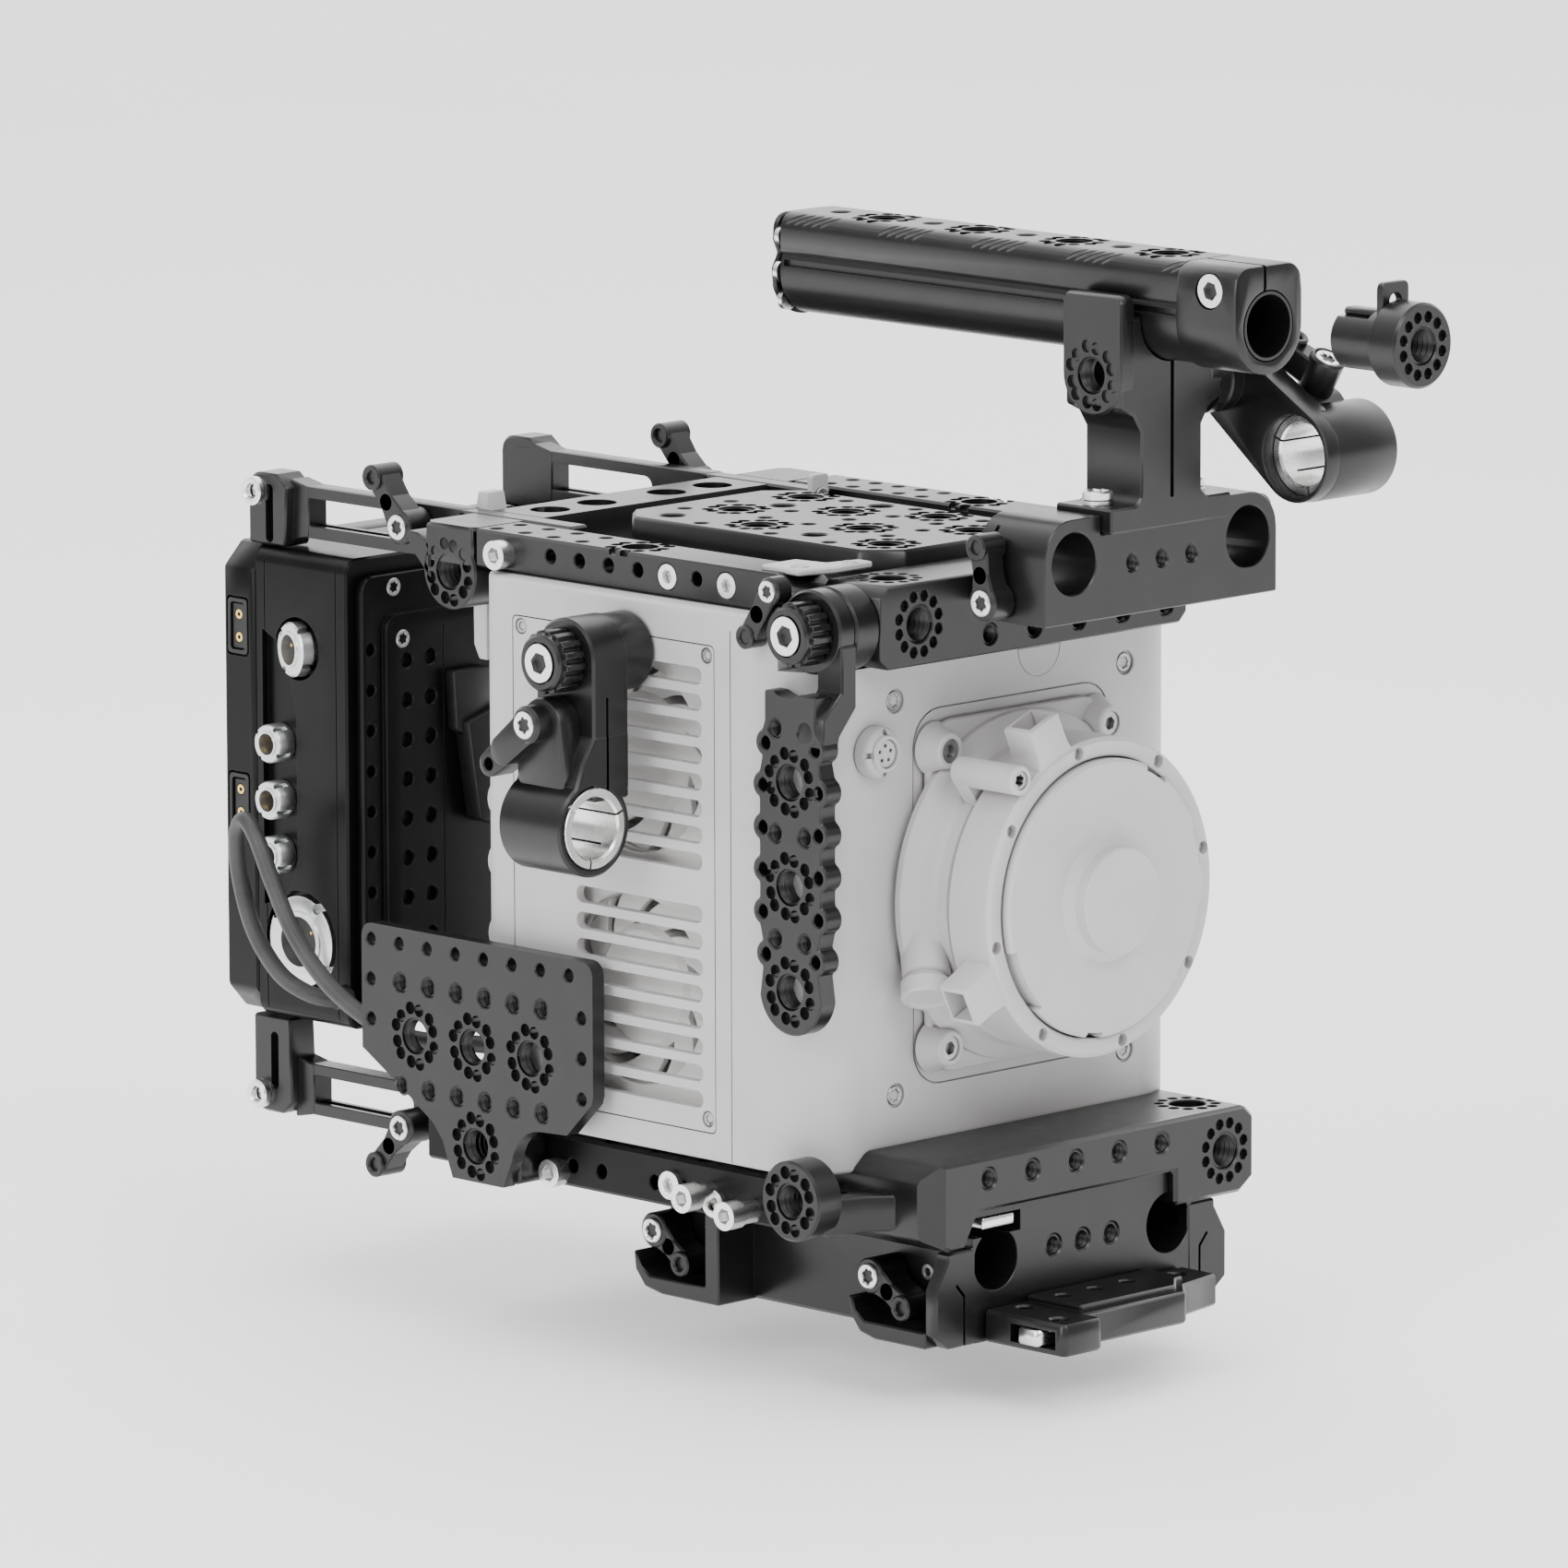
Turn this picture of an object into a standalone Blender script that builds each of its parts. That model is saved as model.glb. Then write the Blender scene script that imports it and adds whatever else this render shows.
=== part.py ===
"""A cinema camera in a rod and cheese-plate cage, with its handle, arms and rear power module.

All sizes are in millimetres. X is measured from the lens axis, Y from the front face of the
rod base, Z from the lens axis. The camera looks along -Y. The finished model is moved so that
its origin is the middle of the base's underside.
"""
import math

import bmesh
import bpy
from mathutils import Vector
from mathutils.geometry import delaunay_2d_cdt

# ---- driving dimensions ------------------------------------------------------------------
MM = 0.001
GAP = 0.3                     # kept between pieces that touch
ROD_R = 7.5                   # 15 mm rods
ROD_HALF_SPACING = 30.0       # rods 60 mm apart
LENS_TO_RODS = 85.0           # lens axis above the rod centres
BASE_BOTTOM = -104.6
BASE_TOP = -72.3
BASE_LENGTH = 103.0
BASE_HALF = 47.0
CAM_RIGHT = -67.5             # vent side of the camera body
CAM_LEFT = 62.0
CAM_FRONT = 24.0
CAM_REAR = 145.0
CAM_BOTTOM = -64.0
CAM_TOP = 70.4
RAIL_HALF = 62.0
RAIL_TOP = 80.2
RAIL_UNDER = 70.7
HANDLE_Z = 143.3              # axis of the 15 mm bore through the handle
HUB_Y = 26.0                  # front swing arm's axis
HUB_Z = 68.5
SIDE_HUB_Y = 87.0             # side arm's axis
SIDE_HUB_Z = 57.7
MODULE_HALF = 50.0
MODULE_FRONT = 205.7
ARM_X = 45.0
CABLE_R = 2.15
EVF_LEVER_LEAN = 30.0         # degrees from the vertical
ORIGIN = Vector((0.0, BASE_LENGTH / 2, BASE_BOTTOM))

PLANES = {"X": (1, 2, 0), "Y": (0, 2, 1), "Z": (0, 1, 2)}


# ---- materials ---------------------------------------------------------------------------
def make_material(name, colour, roughness, metallic):
    """One Principled material."""
    material = bpy.data.materials.new(name)
    material.use_nodes = True
    shader = material.node_tree.nodes["Principled BSDF"]
    shader.inputs["Base Color"].default_value = (*colour, 1.0)
    shader.inputs["Roughness"].default_value = roughness
    shader.inputs["Metallic"].default_value = metallic
    return material


LOOKS = {
    "anodised": ((0.022, 0.022, 0.022), 0.38, 0.6),
    "camera_grey": ((0.50, 0.49, 0.485), 0.55, 0.0),
    "silver": ((0.80, 0.80, 0.79), 0.25, 1.0),
    "black_plastic": ((0.015, 0.015, 0.016), 0.45, 0.0),
    "cable_rubber": ((0.03, 0.03, 0.03), 0.6, 0.0),
    "sensor_glass": ((0.03, 0.05, 0.06), 0.1, 0.0),
}


# ---- outlines in a plane -----------------------------------------------------------------
def arc(a, b, radius, start, stop, count):
    """Points along an arc, angles in degrees."""
    step = math.radians(stop - start) / count
    first = math.radians(start)
    return [(a + radius * math.cos(first + step * i), b + radius * math.sin(first + step * i))
            for i in range(count + 1)]


def circle(a, b, radius, count=20):
    """A round outline."""
    return arc(a, b, radius, 0, 360, count)[:-1]


def rounded(a0, b0, a1, b1, radius, count=3):
    """A rectangle with round corners; count 1 gives straight chamfers."""
    corners = ((a1, b1, 0), (a0, b1, 90), (a0, b0, 180), (a1, b0, 270))
    points = []
    for a, b, turn in corners:
        ca = a - math.copysign(radius, a - (a0 + a1) / 2)
        cb = b - math.copysign(radius, b - (b0 + b1) / 2)
        points += arc(ca, cb, radius, turn, turn + 90, count)
    return points


def rect(a0, b0, a1, b1):
    """A plain rectangle."""
    return [(a0, b0), (a1, b0), (a1, b1), (a0, b1)]


def hull(*discs, count=16):
    """The tight outline round several discs (a, b, radius)."""
    points = sorted(p for a, b, r in discs for p in circle(a, b, r, count))

    def half(ordered):
        """One side of the convex hull."""
        chain = []
        for p in ordered:
            while len(chain) > 1:
                (x0, y0), (x1, y1) = chain[-2], chain[-1]
                if (x1 - x0) * (p[1] - y0) - (y1 - y0) * (p[0] - x0) > 1e-7:
                    break
                chain.pop()
            chain.append(p)
        return chain[:-1]

    return half(points) + half(points[::-1])


def inside(point, loops):
    """Whether a point is in the outline and out of its holes."""
    x, y = point
    odd = False
    for loop in loops:
        for (x0, y0), (x1, y1) in zip(loop, loop[1:] + loop[:1]):
            if (y0 > y) != (y1 > y) and x < x0 + (y - y0) * (x1 - x0) / (y1 - y0):
                odd = not odd
    return odd


# ---- solids ------------------------------------------------------------------------------
def to_frame(point):
    """Millimetres on the drawing to metres in the part's frame."""
    return (Vector(point) - ORIGIN) * MM


def mesh_object(name, look, verts, faces):
    """An object with consistent outward faces."""
    mesh = bpy.data.meshes.new(name)
    mesh.from_pydata([to_frame(v) for v in verts], [], faces)
    bm = bmesh.new()
    bm.from_mesh(mesh)
    bmesh.ops.remove_doubles(bm, verts=bm.verts, dist=1e-6)
    bmesh.ops.recalc_face_normals(bm, faces=bm.faces)
    bm.to_mesh(mesh)
    bm.free()
    mesh.materials.append(MATERIALS[look])
    obj = bpy.data.objects.new(name, mesh)
    bpy.context.scene.collection.objects.link(obj)
    return obj


def prism(name, look, axis, low, high, outline, holes=()):
    """An outline with holes, extruded along an axis from low to high."""
    loops = [list(outline)] + [list(h) for h in holes]
    flat, edges = [], []
    for loop in loops:
        first = len(flat)
        flat += [Vector(p) for p in loop]
        edges += [(first + i, first + (i + 1) % len(loop)) for i in range(len(loop))]
    points, _, triangles, *_ = delaunay_2d_cdt(flat, edges, [], 0, 1e-4)
    kept = [t for t in triangles if inside(sum((points[i] for i in t), Vector((0, 0))) / 3, loops)]
    ia, ib, depth = PLANES[axis]

    def lift(p, level):
        """A plane point at a level along the axis."""
        v = [0.0, 0.0, 0.0]
        v[ia], v[ib], v[depth] = p[0], p[1], level
        return v

    count = len(points)
    verts = [lift(p, low) for p in points] + [lift(p, high) for p in points]
    faces = [tuple(t[::-1]) for t in kept] + [tuple(i + count for i in t) for t in kept]
    rims = {}
    for t in kept:
        for i, j in zip(t, t[1:] + t[:1]):
            key = (min(i, j), max(i, j))
            rims[key] = None if key in rims else (i, j)
    faces += [(i, j, j + count, i + count) for i, j in filter(None, rims.values())]
    return mesh_object(name, look, verts, faces)


def turned(name, look, axis, centre, profile, count=28):
    """A solid turned about an axis from a closed run of (radius, level) points."""
    ia, ib, depth = PLANES[axis]
    verts, rings = [], []
    for radius, level in profile:
        steps = 1 if radius < 1e-6 else count
        ring = []
        for k in range(steps):
            turn = 2 * math.pi * k / count
            v = [0.0, 0.0, 0.0]
            v[ia] = centre[0] + radius * math.cos(turn)
            v[ib] = centre[1] + radius * math.sin(turn)
            v[depth] = level
            ring.append(len(verts))
            verts.append(v)
        rings.append(ring)
    faces = []
    for near, far in zip(rings, rings[1:] + rings[:1]):
        for k in range(count):
            m = (k + 1) % count
            corners = [near[k % len(near)], near[m % len(near)], far[m % len(far)], far[k % len(far)]]
            face = list(dict.fromkeys(corners))
            if len(face) > 2:
                faces.append(face)
    return mesh_object(name, look, verts, faces)


def block(name, look, low, high):
    """A box between two corners."""
    return prism(name, look, "Z", low[2], high[2], rect(low[0], low[1], high[0], high[1]))


def boolean(obj, operation, others):
    """Unites or cuts an object with hidden tool objects."""
    for other in others:
        other.hide_render = True
        other.display_type = "WIRE"
        modifier = obj.modifiers.new(other.name, "BOOLEAN")
        modifier.operation = operation
        modifier.object = other
        modifier.solver = "EXACT"
    return obj


def cut(obj, *cutters):
    """Cuts tools out of an object."""
    return boolean(obj, "DIFFERENCE", cutters)


def unite(obj, *others):
    """Adds tools to an object."""
    return boolean(obj, "UNION", others)


def pivot(obj, point):
    """Moves an object's origin onto its joint, leaving its shape where it is."""
    origin = to_frame(point)
    for vertex in obj.data.vertices:
        vertex.co -= origin
    obj.location = origin
    return obj


def bores(axis, low, high, centres, radius, count=12):
    """One tool of parallel round holes."""
    parts = [circle(a, b, radius, count) for a, b in centres]
    tools = [prism("bore_tool", "anodised", axis, low, high, outline) for outline in parts]
    joined = bmesh.new()
    for tool in tools:
        joined.from_mesh(tool.data)
        bpy.data.objects.remove(tool)
    mesh = bpy.data.meshes.new("bores")
    joined.to_mesh(mesh)
    joined.free()
    mesh.materials.append(MATERIALS["anodised"])
    obj = bpy.data.objects.new("bores", mesh)
    bpy.context.scene.collection.objects.link(obj)
    return obj


def row(start, step, count, fixed):
    """Hole centres in a line along the first plane direction."""
    return [(start + step * i, fixed) for i in range(count)]


# ---- camera ------------------------------------------------------------------------------
LENS = (0.0, 0.0)
FAN_Y = 91.0
FAN_LEVELS = {"fan_upper": 30.0, "fan_lower": -27.0}
FAN_R = 25.0
COVER = (57.7, -57.0, 127.0, 61.5)    # Y and Z limits of the vent cover
SLOT_PITCH = 6.45


def camera_body():
    """The body casting, with its lens throat, cooling bay and notch for the front bar."""
    outline = rounded(CAM_RIGHT, CAM_FRONT, CAM_LEFT, CAM_REAR, 16.0, 5)
    body = prism("camera_body", "camera_grey", "Z", CAM_BOTTOM, CAM_TOP, outline)
    notch = block("notch", "camera_grey", (-80, 10, 58.1), (80, 36.4, 90))
    throat = prism("throat", "camera_grey", "Y", 10, 62, circle(*LENS, 28.5, 28))
    y0, z0, y1, z1 = COVER
    seat = block("cover_seat", "camera_grey", (-80, y0 - GAP, z0 - GAP), (-64.7, y1 + GAP, z1 + GAP))
    bay = block("fan_bay", "camera_grey", (-70, 62, -55), (-46, 120, 58))
    return cut(body, notch, throat, seat, bay)


def side_cover():
    """The vent cover over the cooling bay, with two groups of slots."""
    y0, z0, y1, z1 = COVER
    levels = [z0 + 5.5 + SLOT_PITCH * i for i in range(17) if i != 8]
    slots = [rect(62, z, 105.5, z + 4.2) for z in levels]
    return prism("side_cover", "camera_grey", "X", CAM_RIGHT, -65.0, rounded(y0, z0, y1, z1, 1.5), slots)


def fan(name, level):
    """A fan rotor: a hub with seven square blades."""
    blades = 7
    outline = []
    for k in range(blades):
        turn = 360.0 / blades * k
        outline += arc(FAN_Y, level, 9.0, turn, turn + 26, 2)
        outline += arc(FAN_Y, level, FAN_R, turn + 27, turn + 44, 2)
    rotor = prism(name, "black_plastic", "X", -60, -50, outline)
    return pivot(rotor, (-55, FAN_Y, level))


def sensor_block():
    """The image sensor's block at the bottom of the throat."""
    return prism("sensor_block", "sensor_glass", "Y", 50, 61.7, rounded(-19, -13, 19, 13, 2))


def mount_flange():
    """The square flange that carries the lens mount."""
    return prism("mount_flange", "camera_grey", "Y", 20.2, CAM_FRONT - GAP, rounded(-31, -43, 31, 43, 9),
                 [circle(*LENS, 27, 28)])


def mount_barrel():
    """The fixed lens mount."""
    profile = [(27, 19.9), (27, -1), (34, -1), (34, 8), (37.5, 8), (39.5, 19.9)]
    return turned("mount_barrel", "camera_grey", "Y", LENS, profile)


def lock_ring():
    """The turning lock ring with its two finger lugs."""
    profile = [(34.3, -6), (38.9, -6), (38.9, 7.5), (34.3, 7.5)]
    ring = turned("lock_ring", "camera_grey", "Y", LENS, profile)
    for turn in (113, 212):
        c, s = math.cos(math.radians(turn)), math.sin(math.radians(turn))
        lug = prism("lug", "camera_grey", "Y", -5, 4, hull((37 * c, 37 * s, 4.5), (46 * c, 46 * s, 3.5)))
        cut_back = turned("lug_back", "camera_grey", "Y", LENS, [(0, -9), (36, -9), (36, 9), (0, 9)])
        unite(ring, cut(lug, cut_back))
    return pivot(ring, (0, 0, 0))


def mount_cap():
    """The round cap that closes the mount."""
    profile = [(0, -13.3), (13, -13.3), (13, -8), (33, -8), (33, -1.5), (26.4, -1.5), (26.4, 8), (0, 8)]
    return pivot(turned("mount_cap", "camera_grey", "Y", LENS, profile), (0, 0, 0))


def front_connector():
    """The round control socket on the camera's front."""
    profile = [(0, 21), (4.3, 21), (4.3, 18.5), (6.2, 18.5), (6.2, CAM_FRONT - GAP), (0, CAM_FRONT - GAP)]
    return turned("front_connector", "camera_grey", "Y", (-47.8, 37.8), profile, 20)


def antenna():
    """The paddle aerial, on a stub from the camera's rear face."""
    paddle = prism("antenna", "camera_grey", "Y", 167.5, 172.5, rounded(-38, 42, -29.5, 84, 1.5, 1))
    stub = turned("antenna_stub", "camera_grey", "Y", (-33.7, 52),
                  [(0, CAM_REAR + GAP), (3, CAM_REAR + GAP), (3, 170), (0, 170)], 12)
    return pivot(unite(paddle, stub), (-33.7, 170, 52))


def camera():
    """Every piece of the camera."""
    camera_body()
    side_cover()
    for name, level in FAN_LEVELS.items():
        fan(name, level)
    for piece in (sensor_block, mount_flange, mount_barrel, lock_ring, mount_cap, front_connector, antenna):
        piece()


# ---- top of the cage ---------------------------------------------------------------------
def top_front_bar():
    """The bar across the camera's top front edge."""
    outline = rounded(-53, 58.5, 53, 78.5, 2.5, 1)
    bar = prism("top_front_bar", "anodised", "Y", 16, 36, outline, [circle(-39.8, 68.5, 4.2, 12)])
    return cut(bar, bores("Y", 10, 28, row(-15.6, 15.3, 5, 63.3), 2.6, 10))


def top_rail(side):
    """A rail along the top edge; side is -1 for the operator's right."""
    name = "top_right_rail" if side < 0 else "top_left_rail"
    outline = rounded(47, RAIL_UNDER, RAIL_HALF, RAIL_TOP, 1.2, 1)
    outline = [(side * a, b) for a, b in outline]
    rail = prism(name, "anodised", "Y", 36.5, 146, outline)
    return cut(rail, bores("X", -70, 70, row(69.1, 10.1, 6, 76.0), 1.8, 8))


def top_centre_plate():
    """The cheese plate on top of the camera."""
    holes = [circle(x, y, 4.2, 10) for x in (-12, 12) for y in (50, 80, 110)]
    outline = rounded(-30, 38, 30, 132, 8, 2)
    return prism("top_centre_plate", "anodised", "Z", CAM_TOP + GAP, 82, outline, holes)


def top_rear_bar():
    """The bar across the rear with a rosette boss at the operator's right."""
    bar = prism("top_rear_bar", "anodised", "Z", 70.7, RAIL_TOP, rounded(-RAIL_HALF, 146.3, RAIL_HALF, 164, 2, 1),
                [circle(x, 155, 4.2, 10) for x in (-30, 0, 30)])
    boss = prism("rear_boss", "anodised", "X", -RAIL_HALF, -47, circle(155, 68.5, 9.3), [circle(155, 68.5, 4.2, 12)])
    notches = [block("arm_notch", "anodised", (x - 3.4, 140, 73.7), (x + 3.4, 170, 90)) for x in (-42, 42)]
    return cut(unite(bar, boss), *notches)


def rod_bracket():
    """The clamp for two rods above the lens, with its fixing tongue."""
    outline = rounded(-40, 72.1, 40, 97, 3, 2)
    rods = [circle(s * ROD_HALF_SPACING, 86.35, ROD_R, 20) for s in (-1, 1)]
    screws = [circle(x, 84.5, 2.1, 10) for x in (-10.2, 0, 10.2)]
    bracket = prism("rod_bracket", "anodised", "Y", -25.7, -3.6, outline, rods + screws)
    channel = block("channel", "anodised", (-21, -40, 92.3), (21, 10, 110))
    tongue = block("tongue", "anodised", (-22, -5, 72.1), (22, 16 - GAP, 88))
    return cut(unite(bracket, tongue), channel)


def lever(name, axis, low, high, root, tip, root_r=4.6, tip_r=3.2):
    """A cam lever: a flat arm between its pivot and its finger end."""
    arm = prism(name, "anodised", axis, low, high, hull((*root, root_r), (*tip, tip_r), count=14),
                [circle(*tip, 1.6, 8)])
    ia, ib, depth = PLANES[axis]
    point = [0.0, 0.0, 0.0]
    point[ia], point[ib], point[depth] = root[0], root[1], (low + high) / 2
    return pivot(arm, point)


def rod_bracket_levers():
    """The two cam levers of the top rod clamp."""
    lever("rod_lever_right", "X", -48, -40.3, (-12, 77.4), (-10.3, 90.5))
    lever("rod_lever_left", "X", 40.3, 48, (-12, 77.4), (-13.7, 90.5))


def top_cage():
    """Every piece of the cage's upper half."""
    top_front_bar()
    top_rail(-1)
    top_rail(1)
    for piece in (top_centre_plate, top_rear_bar, rod_bracket, rod_bracket_levers):
        piece()


# ---- handle ------------------------------------------------------------------------------
def handle_post():
    """The post: a foot in the bracket's channel, a column and a split ring round the tube."""
    front_view = [(-20.7, 92.6), (20.7, 92.6), (20.7, 98.5), (10.4, 98.5), (10.4, 118), (18, 118), (18, 149),
                  (-18, 149), (-18, 118), (-10.4, 118), (-10.4, 98.5), (-20.7, 98.5)]
    post = prism("handle_post", "anodised", "Y", -29.5, -10, front_view, [circle(0, HANDLE_Z, 11.3, 24)])
    open_top = block("open_top", "anodised", (-13.2, -40, HANDLE_Z), (13.2, 0, 160))
    slit = block("slit", "anodised", (-0.8, -40, 99), (0.8, 0, 140))
    screw = bores("X", -30, 30, [(-19.5, 128.2)], 4.2)
    return cut(post, open_top, slit, screw)


def handle_grip():
    """The grip: a flat-topped bar over the tube, widening into a split clamp at the front."""
    holes = [circle(0, y, 2.4, 8) for y in (79, 49, 19.4, -10.3)]
    grip = prism("handle_grip", "anodised", "Z", 153.5, 157.8, rounded(-10, -60.2, 10, 92, 3, 2), holes)
    neck = block("neck", "anodised", (-3.5, -58, HANDLE_Z + 8), (3.5, 91.5, 154))
    clamp = prism("front_clamp", "anodised", "Y", -60.2, -41, hull((0, HANDLE_Z, 11.6), (-5, 152, 5.8), (5, 152, 5.8)))
    bore = bores("Y", -70, 110, [(0, HANDLE_Z)], 11.1, 24)
    cap_slit = block("clamp_slit", "anodised", (-0.7, -70, 145), (0.7, -40.5, 170))
    return cut(unite(grip, neck, clamp), bore, cap_slit)


def handle_tube():
    """The tube under the grip, bored for a 15 mm rod."""
    profile = [(ROD_R, -60), (10.8, -60), (10.8, 91.7), (ROD_R, 91.7)]
    return turned("handle_tube", "anodised", "Y", (0, HANDLE_Z), profile, 24)


def handle_end_cap():
    """The cap that closes the handle's rear end."""
    outline = hull((0, HANDLE_Z, 11.3), (-5, 152.5, 5), (5, 152.5, 5))
    return prism("handle_end_cap", "anodised", "Y", 92.3, 96.5, outline)


def rosette_plug():
    """The rosette plug for the handle's bore, with its key tab, drawn out in line with the bore."""
    profile = [(0, -109.1), (10.1, -109.1), (10.1, -100.5), (7.35, -100.5), (7.35, -86), (0, -86)]
    plug = turned("rosette_plug", "anodised", "Y", (0, HANDLE_Z), profile, 24)
    tab = prism("plug_tab", "anodised", "Y", -100.4, -98.4, rounded(-4.6, 143, 4.6, 157.6, 1.5, 2),
                [circle(0, 153, 1.9, 8)])
    return pivot(unite(plug, tab), (0, -86, HANDLE_Z))


def handle():
    """Every piece of the handle."""
    for piece in (handle_post, handle_grip, handle_tube, handle_end_cap, rosette_plug):
        piece()


# ---- arms --------------------------------------------------------------------------------
def evf_arm():
    """The viewfinder arm on the post, with its rod clamp."""
    root, clamp = (-19.5, 125.0), (-44.0, 108.0)
    arm = prism("evf_arm", "anodised", "X", 26, 33.5, hull((*root, 9.5), (*clamp, 11.5)), [circle(*clamp, 9.6, 20)])
    hub = prism("evf_hub", "anodised", "X", 18.3, 27, circle(*root, 8.5))
    barrel = prism("evf_barrel", "anodised", "X", 33, 50.5, circle(*clamp, 11.5), [circle(*clamp, 9.6, 20)])
    return pivot(unite(arm, hub, barrel), (22, *root))


def evf_lever():
    """The viewfinder arm's cam lever, whose axis leans forward from the vertical."""
    arm = lever("evf_lever", "Z", 121.6, 131.6, (40, -40.3), (37.6, -31.0), 4.4, 3.4)
    arm.rotation_euler.x = math.radians(EVF_LEVER_LEAN)
    return arm


def bushing(name, axis, low, high, centre):
    """A split silver bushing that takes a 19 mm clamp down to a 15 mm rod."""
    slot = math.radians(4)
    outer = arc(*centre, 9.3, math.degrees(slot), 360 - math.degrees(slot), 20)
    inner = arc(*centre, ROD_R, 360 - math.degrees(slot), math.degrees(slot), 20)
    return prism(name, "silver", axis, low, high, outer + inner)


def swing_hub():
    """The barrel that the front swing arm turns on."""
    profile = [(0, -61), (10.3, -61), (10.3, -53.3), (0, -53.3)]
    return turned("swing_hub", "anodised", "X", (HUB_Y, HUB_Z), profile, 24)


def swing_plate():
    """The hanging rosette plate of the front swing arm."""
    body = hull((HUB_Y, 47, 11.5), (HUB_Y, -17.5, 11.5))
    rosettes = [circle(HUB_Y, z, 4.2, 12) for z in (33.1, 7.8, -17.5)]
    smalls = [circle(HUB_Y + s * 4.6, z, 2.1, 8) for s in (-1, 1) for z in (20.3, -5.2, 45.6)]
    plate = prism("swing_plate", "anodised", "X", -73, -67.7, body, rosettes + smalls)
    neck_outline = hull((HUB_Y, HUB_Z, 10), (HUB_Y - 4, 64.6, 6))
    neck = prism("swing_neck", "anodised", "X", -66.5, -61.3, neck_outline)
    bridge = block("swing_bridge", "anodised", (-71, 16.5, 51), (-65.8, 29.5, 60))
    return pivot(unite(plate, bridge, neck), (-64, HUB_Y, HUB_Z))


def knob(name, low, high, y, z):
    """A knurled clamp knob with its bolt head."""
    profile = [(0, low), (4.4, low), (4.4, low + 1.2), (7.8, low + 1.2), (7.8, high), (0, high)]
    return pivot(turned(name, "anodised", "X", (y, z), profile, 20), (low, y, z))


def side_arm():
    """The side arm: a slab that ends in a rod clamp."""
    slab = prism("side_arm", "anodised", "X", -88.7, -77, hull((SIDE_HUB_Y, SIDE_HUB_Z, 10), (SIDE_HUB_Y, 17.8, 10)))
    clamp = (-88.8, 17.8)
    barrel = prism("side_clamp", "anodised", "Y", 76.9, 98, circle(*clamp, 11.9, 24))
    hub = prism("side_hub", "anodised", "X", -78, -67.8, circle(SIDE_HUB_Y, SIDE_HUB_Z, 9.6, 24))
    bore = bores("Y", 60, 120, [clamp], 9.6, 20)
    return pivot(cut(unite(slab, barrel, hub), bore), (-82, SIDE_HUB_Y, SIDE_HUB_Z))


def arms():
    """The three accessory arms with their bushings, levers and knobs."""
    evf_arm()
    bushing("evf_bushing", "X", 30, 50, (-44.0, 108.0))
    evf_lever()
    swing_hub()
    swing_plate()
    lever("swing_lever", "X", -74, -68.2, (33.4, 78.2), (41.0, 66.5), 3.4, 2.9)
    knob("swing_knob", -75.2, -66.8, HUB_Y, HUB_Z)
    side_arm()
    bushing("side_arm_bushing", "Y", 77, 97.5, (-88.8, 17.8))
    lever("side_arm_lever", "X", -101, -89, (88.8, 42.9), (103.6, 31.5), 4.6, 3.4)
    knob("side_arm_knob", -97.4, -89, SIDE_HUB_Y, SIDE_HUB_Z)


# ---- lower half of the cage --------------------------------------------------------------
def side_plate():
    """The cheese plate outside the camera's lower rear, standing off the rail on a foot."""
    outline = [(96, -19), (172, -19), (174, -21), (174, -55), (160, -61.5), (155, -66), (147, -79), (121, -79),
               (118, -68), (104, -62.5), (92.3, -53), (92.3, -22.5)]
    rosettes = [circle(y, z, 4.2, 12) for y, z in ((155, -45.5), (134.5, -45.5), (114, -45.5), (133.6, -69.8))]
    smalls = [circle(110.3 + 10 * i, z, 2.6, 8) for i in range(6) for z in (-33.1, -58.2) if (i, z) != (5, -58.2)]
    plate = prism("side_plate", "anodised", "X", -75, -71, outline, rosettes + smalls)
    foot = block("side_plate_foot", "anodised", (-71.5, 122, -78.5), (-RAIL_HALF - GAP, 146, -66.5))
    screw = bores("X", -80, -50, [(133.6, -69.8)], 4.2)
    return cut(unite(plate, foot), screw)


def lower_rail(side):
    """A rail along the lower edge; side is -1 for the operator's right."""
    name = "lower_right_rail" if side < 0 else "lower_left_rail"
    outline = [(side * a, b) for a, b in rounded(50.3, -79, RAIL_HALF, -66.5, 1.2, 1)]
    rail = prism(name, "anodised", "Y", 34.5, 165, outline)
    return cut(rail, bores("X", -70, 70, row(65, 10, 5, -73.5), 1.8, 8))


def cage_bottom_plate():
    """The plate under the camera that the rails and the rod base are fixed to."""
    holes = [circle(x, y, 4.2, 10) for x in (-20, 20) for y in (60, 100, 135)]
    return prism("cage_bottom_plate", "anodised", "Z", BASE_TOP + GAP, CAM_BOTTOM - GAP,
                 rounded(-50, 21, 50, 164, 6, 2), holes)


def lower_front_bar():
    """The front plate of the lower cage, with the rosette boss at the operator's right."""
    outline = [(-54.5, -77), (-48, -80.5), (-43, -80.5), (-38, -72), (30, -72), (30, -80.5), (53, -80.5), (58, -77),
               (58, -64), (52, -59), (-50, -59), (-54.5, -63)]
    holes = [circle(x, -63.3, 2.2, 10) for x in (-35, -20, -5, 10, 25)] + [circle(47.4, -69.4, 4.2, 12)]
    bar = prism("lower_front_bar", "anodised", "Y", -2.4, 20.6, outline, holes)
    link = block("front_link", "anodised", (-72, 14, -76), (-50.4, 28, -64.5))
    boss = prism("corner_boss", "anodised", "X", -76, -67.8, circle(23.8, -67.5, 9.8))
    screw = bores("X", -80, -66, [(23.8, -67.5)], 4.2)
    return cut(unite(bar, link, boss), screw)


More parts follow.
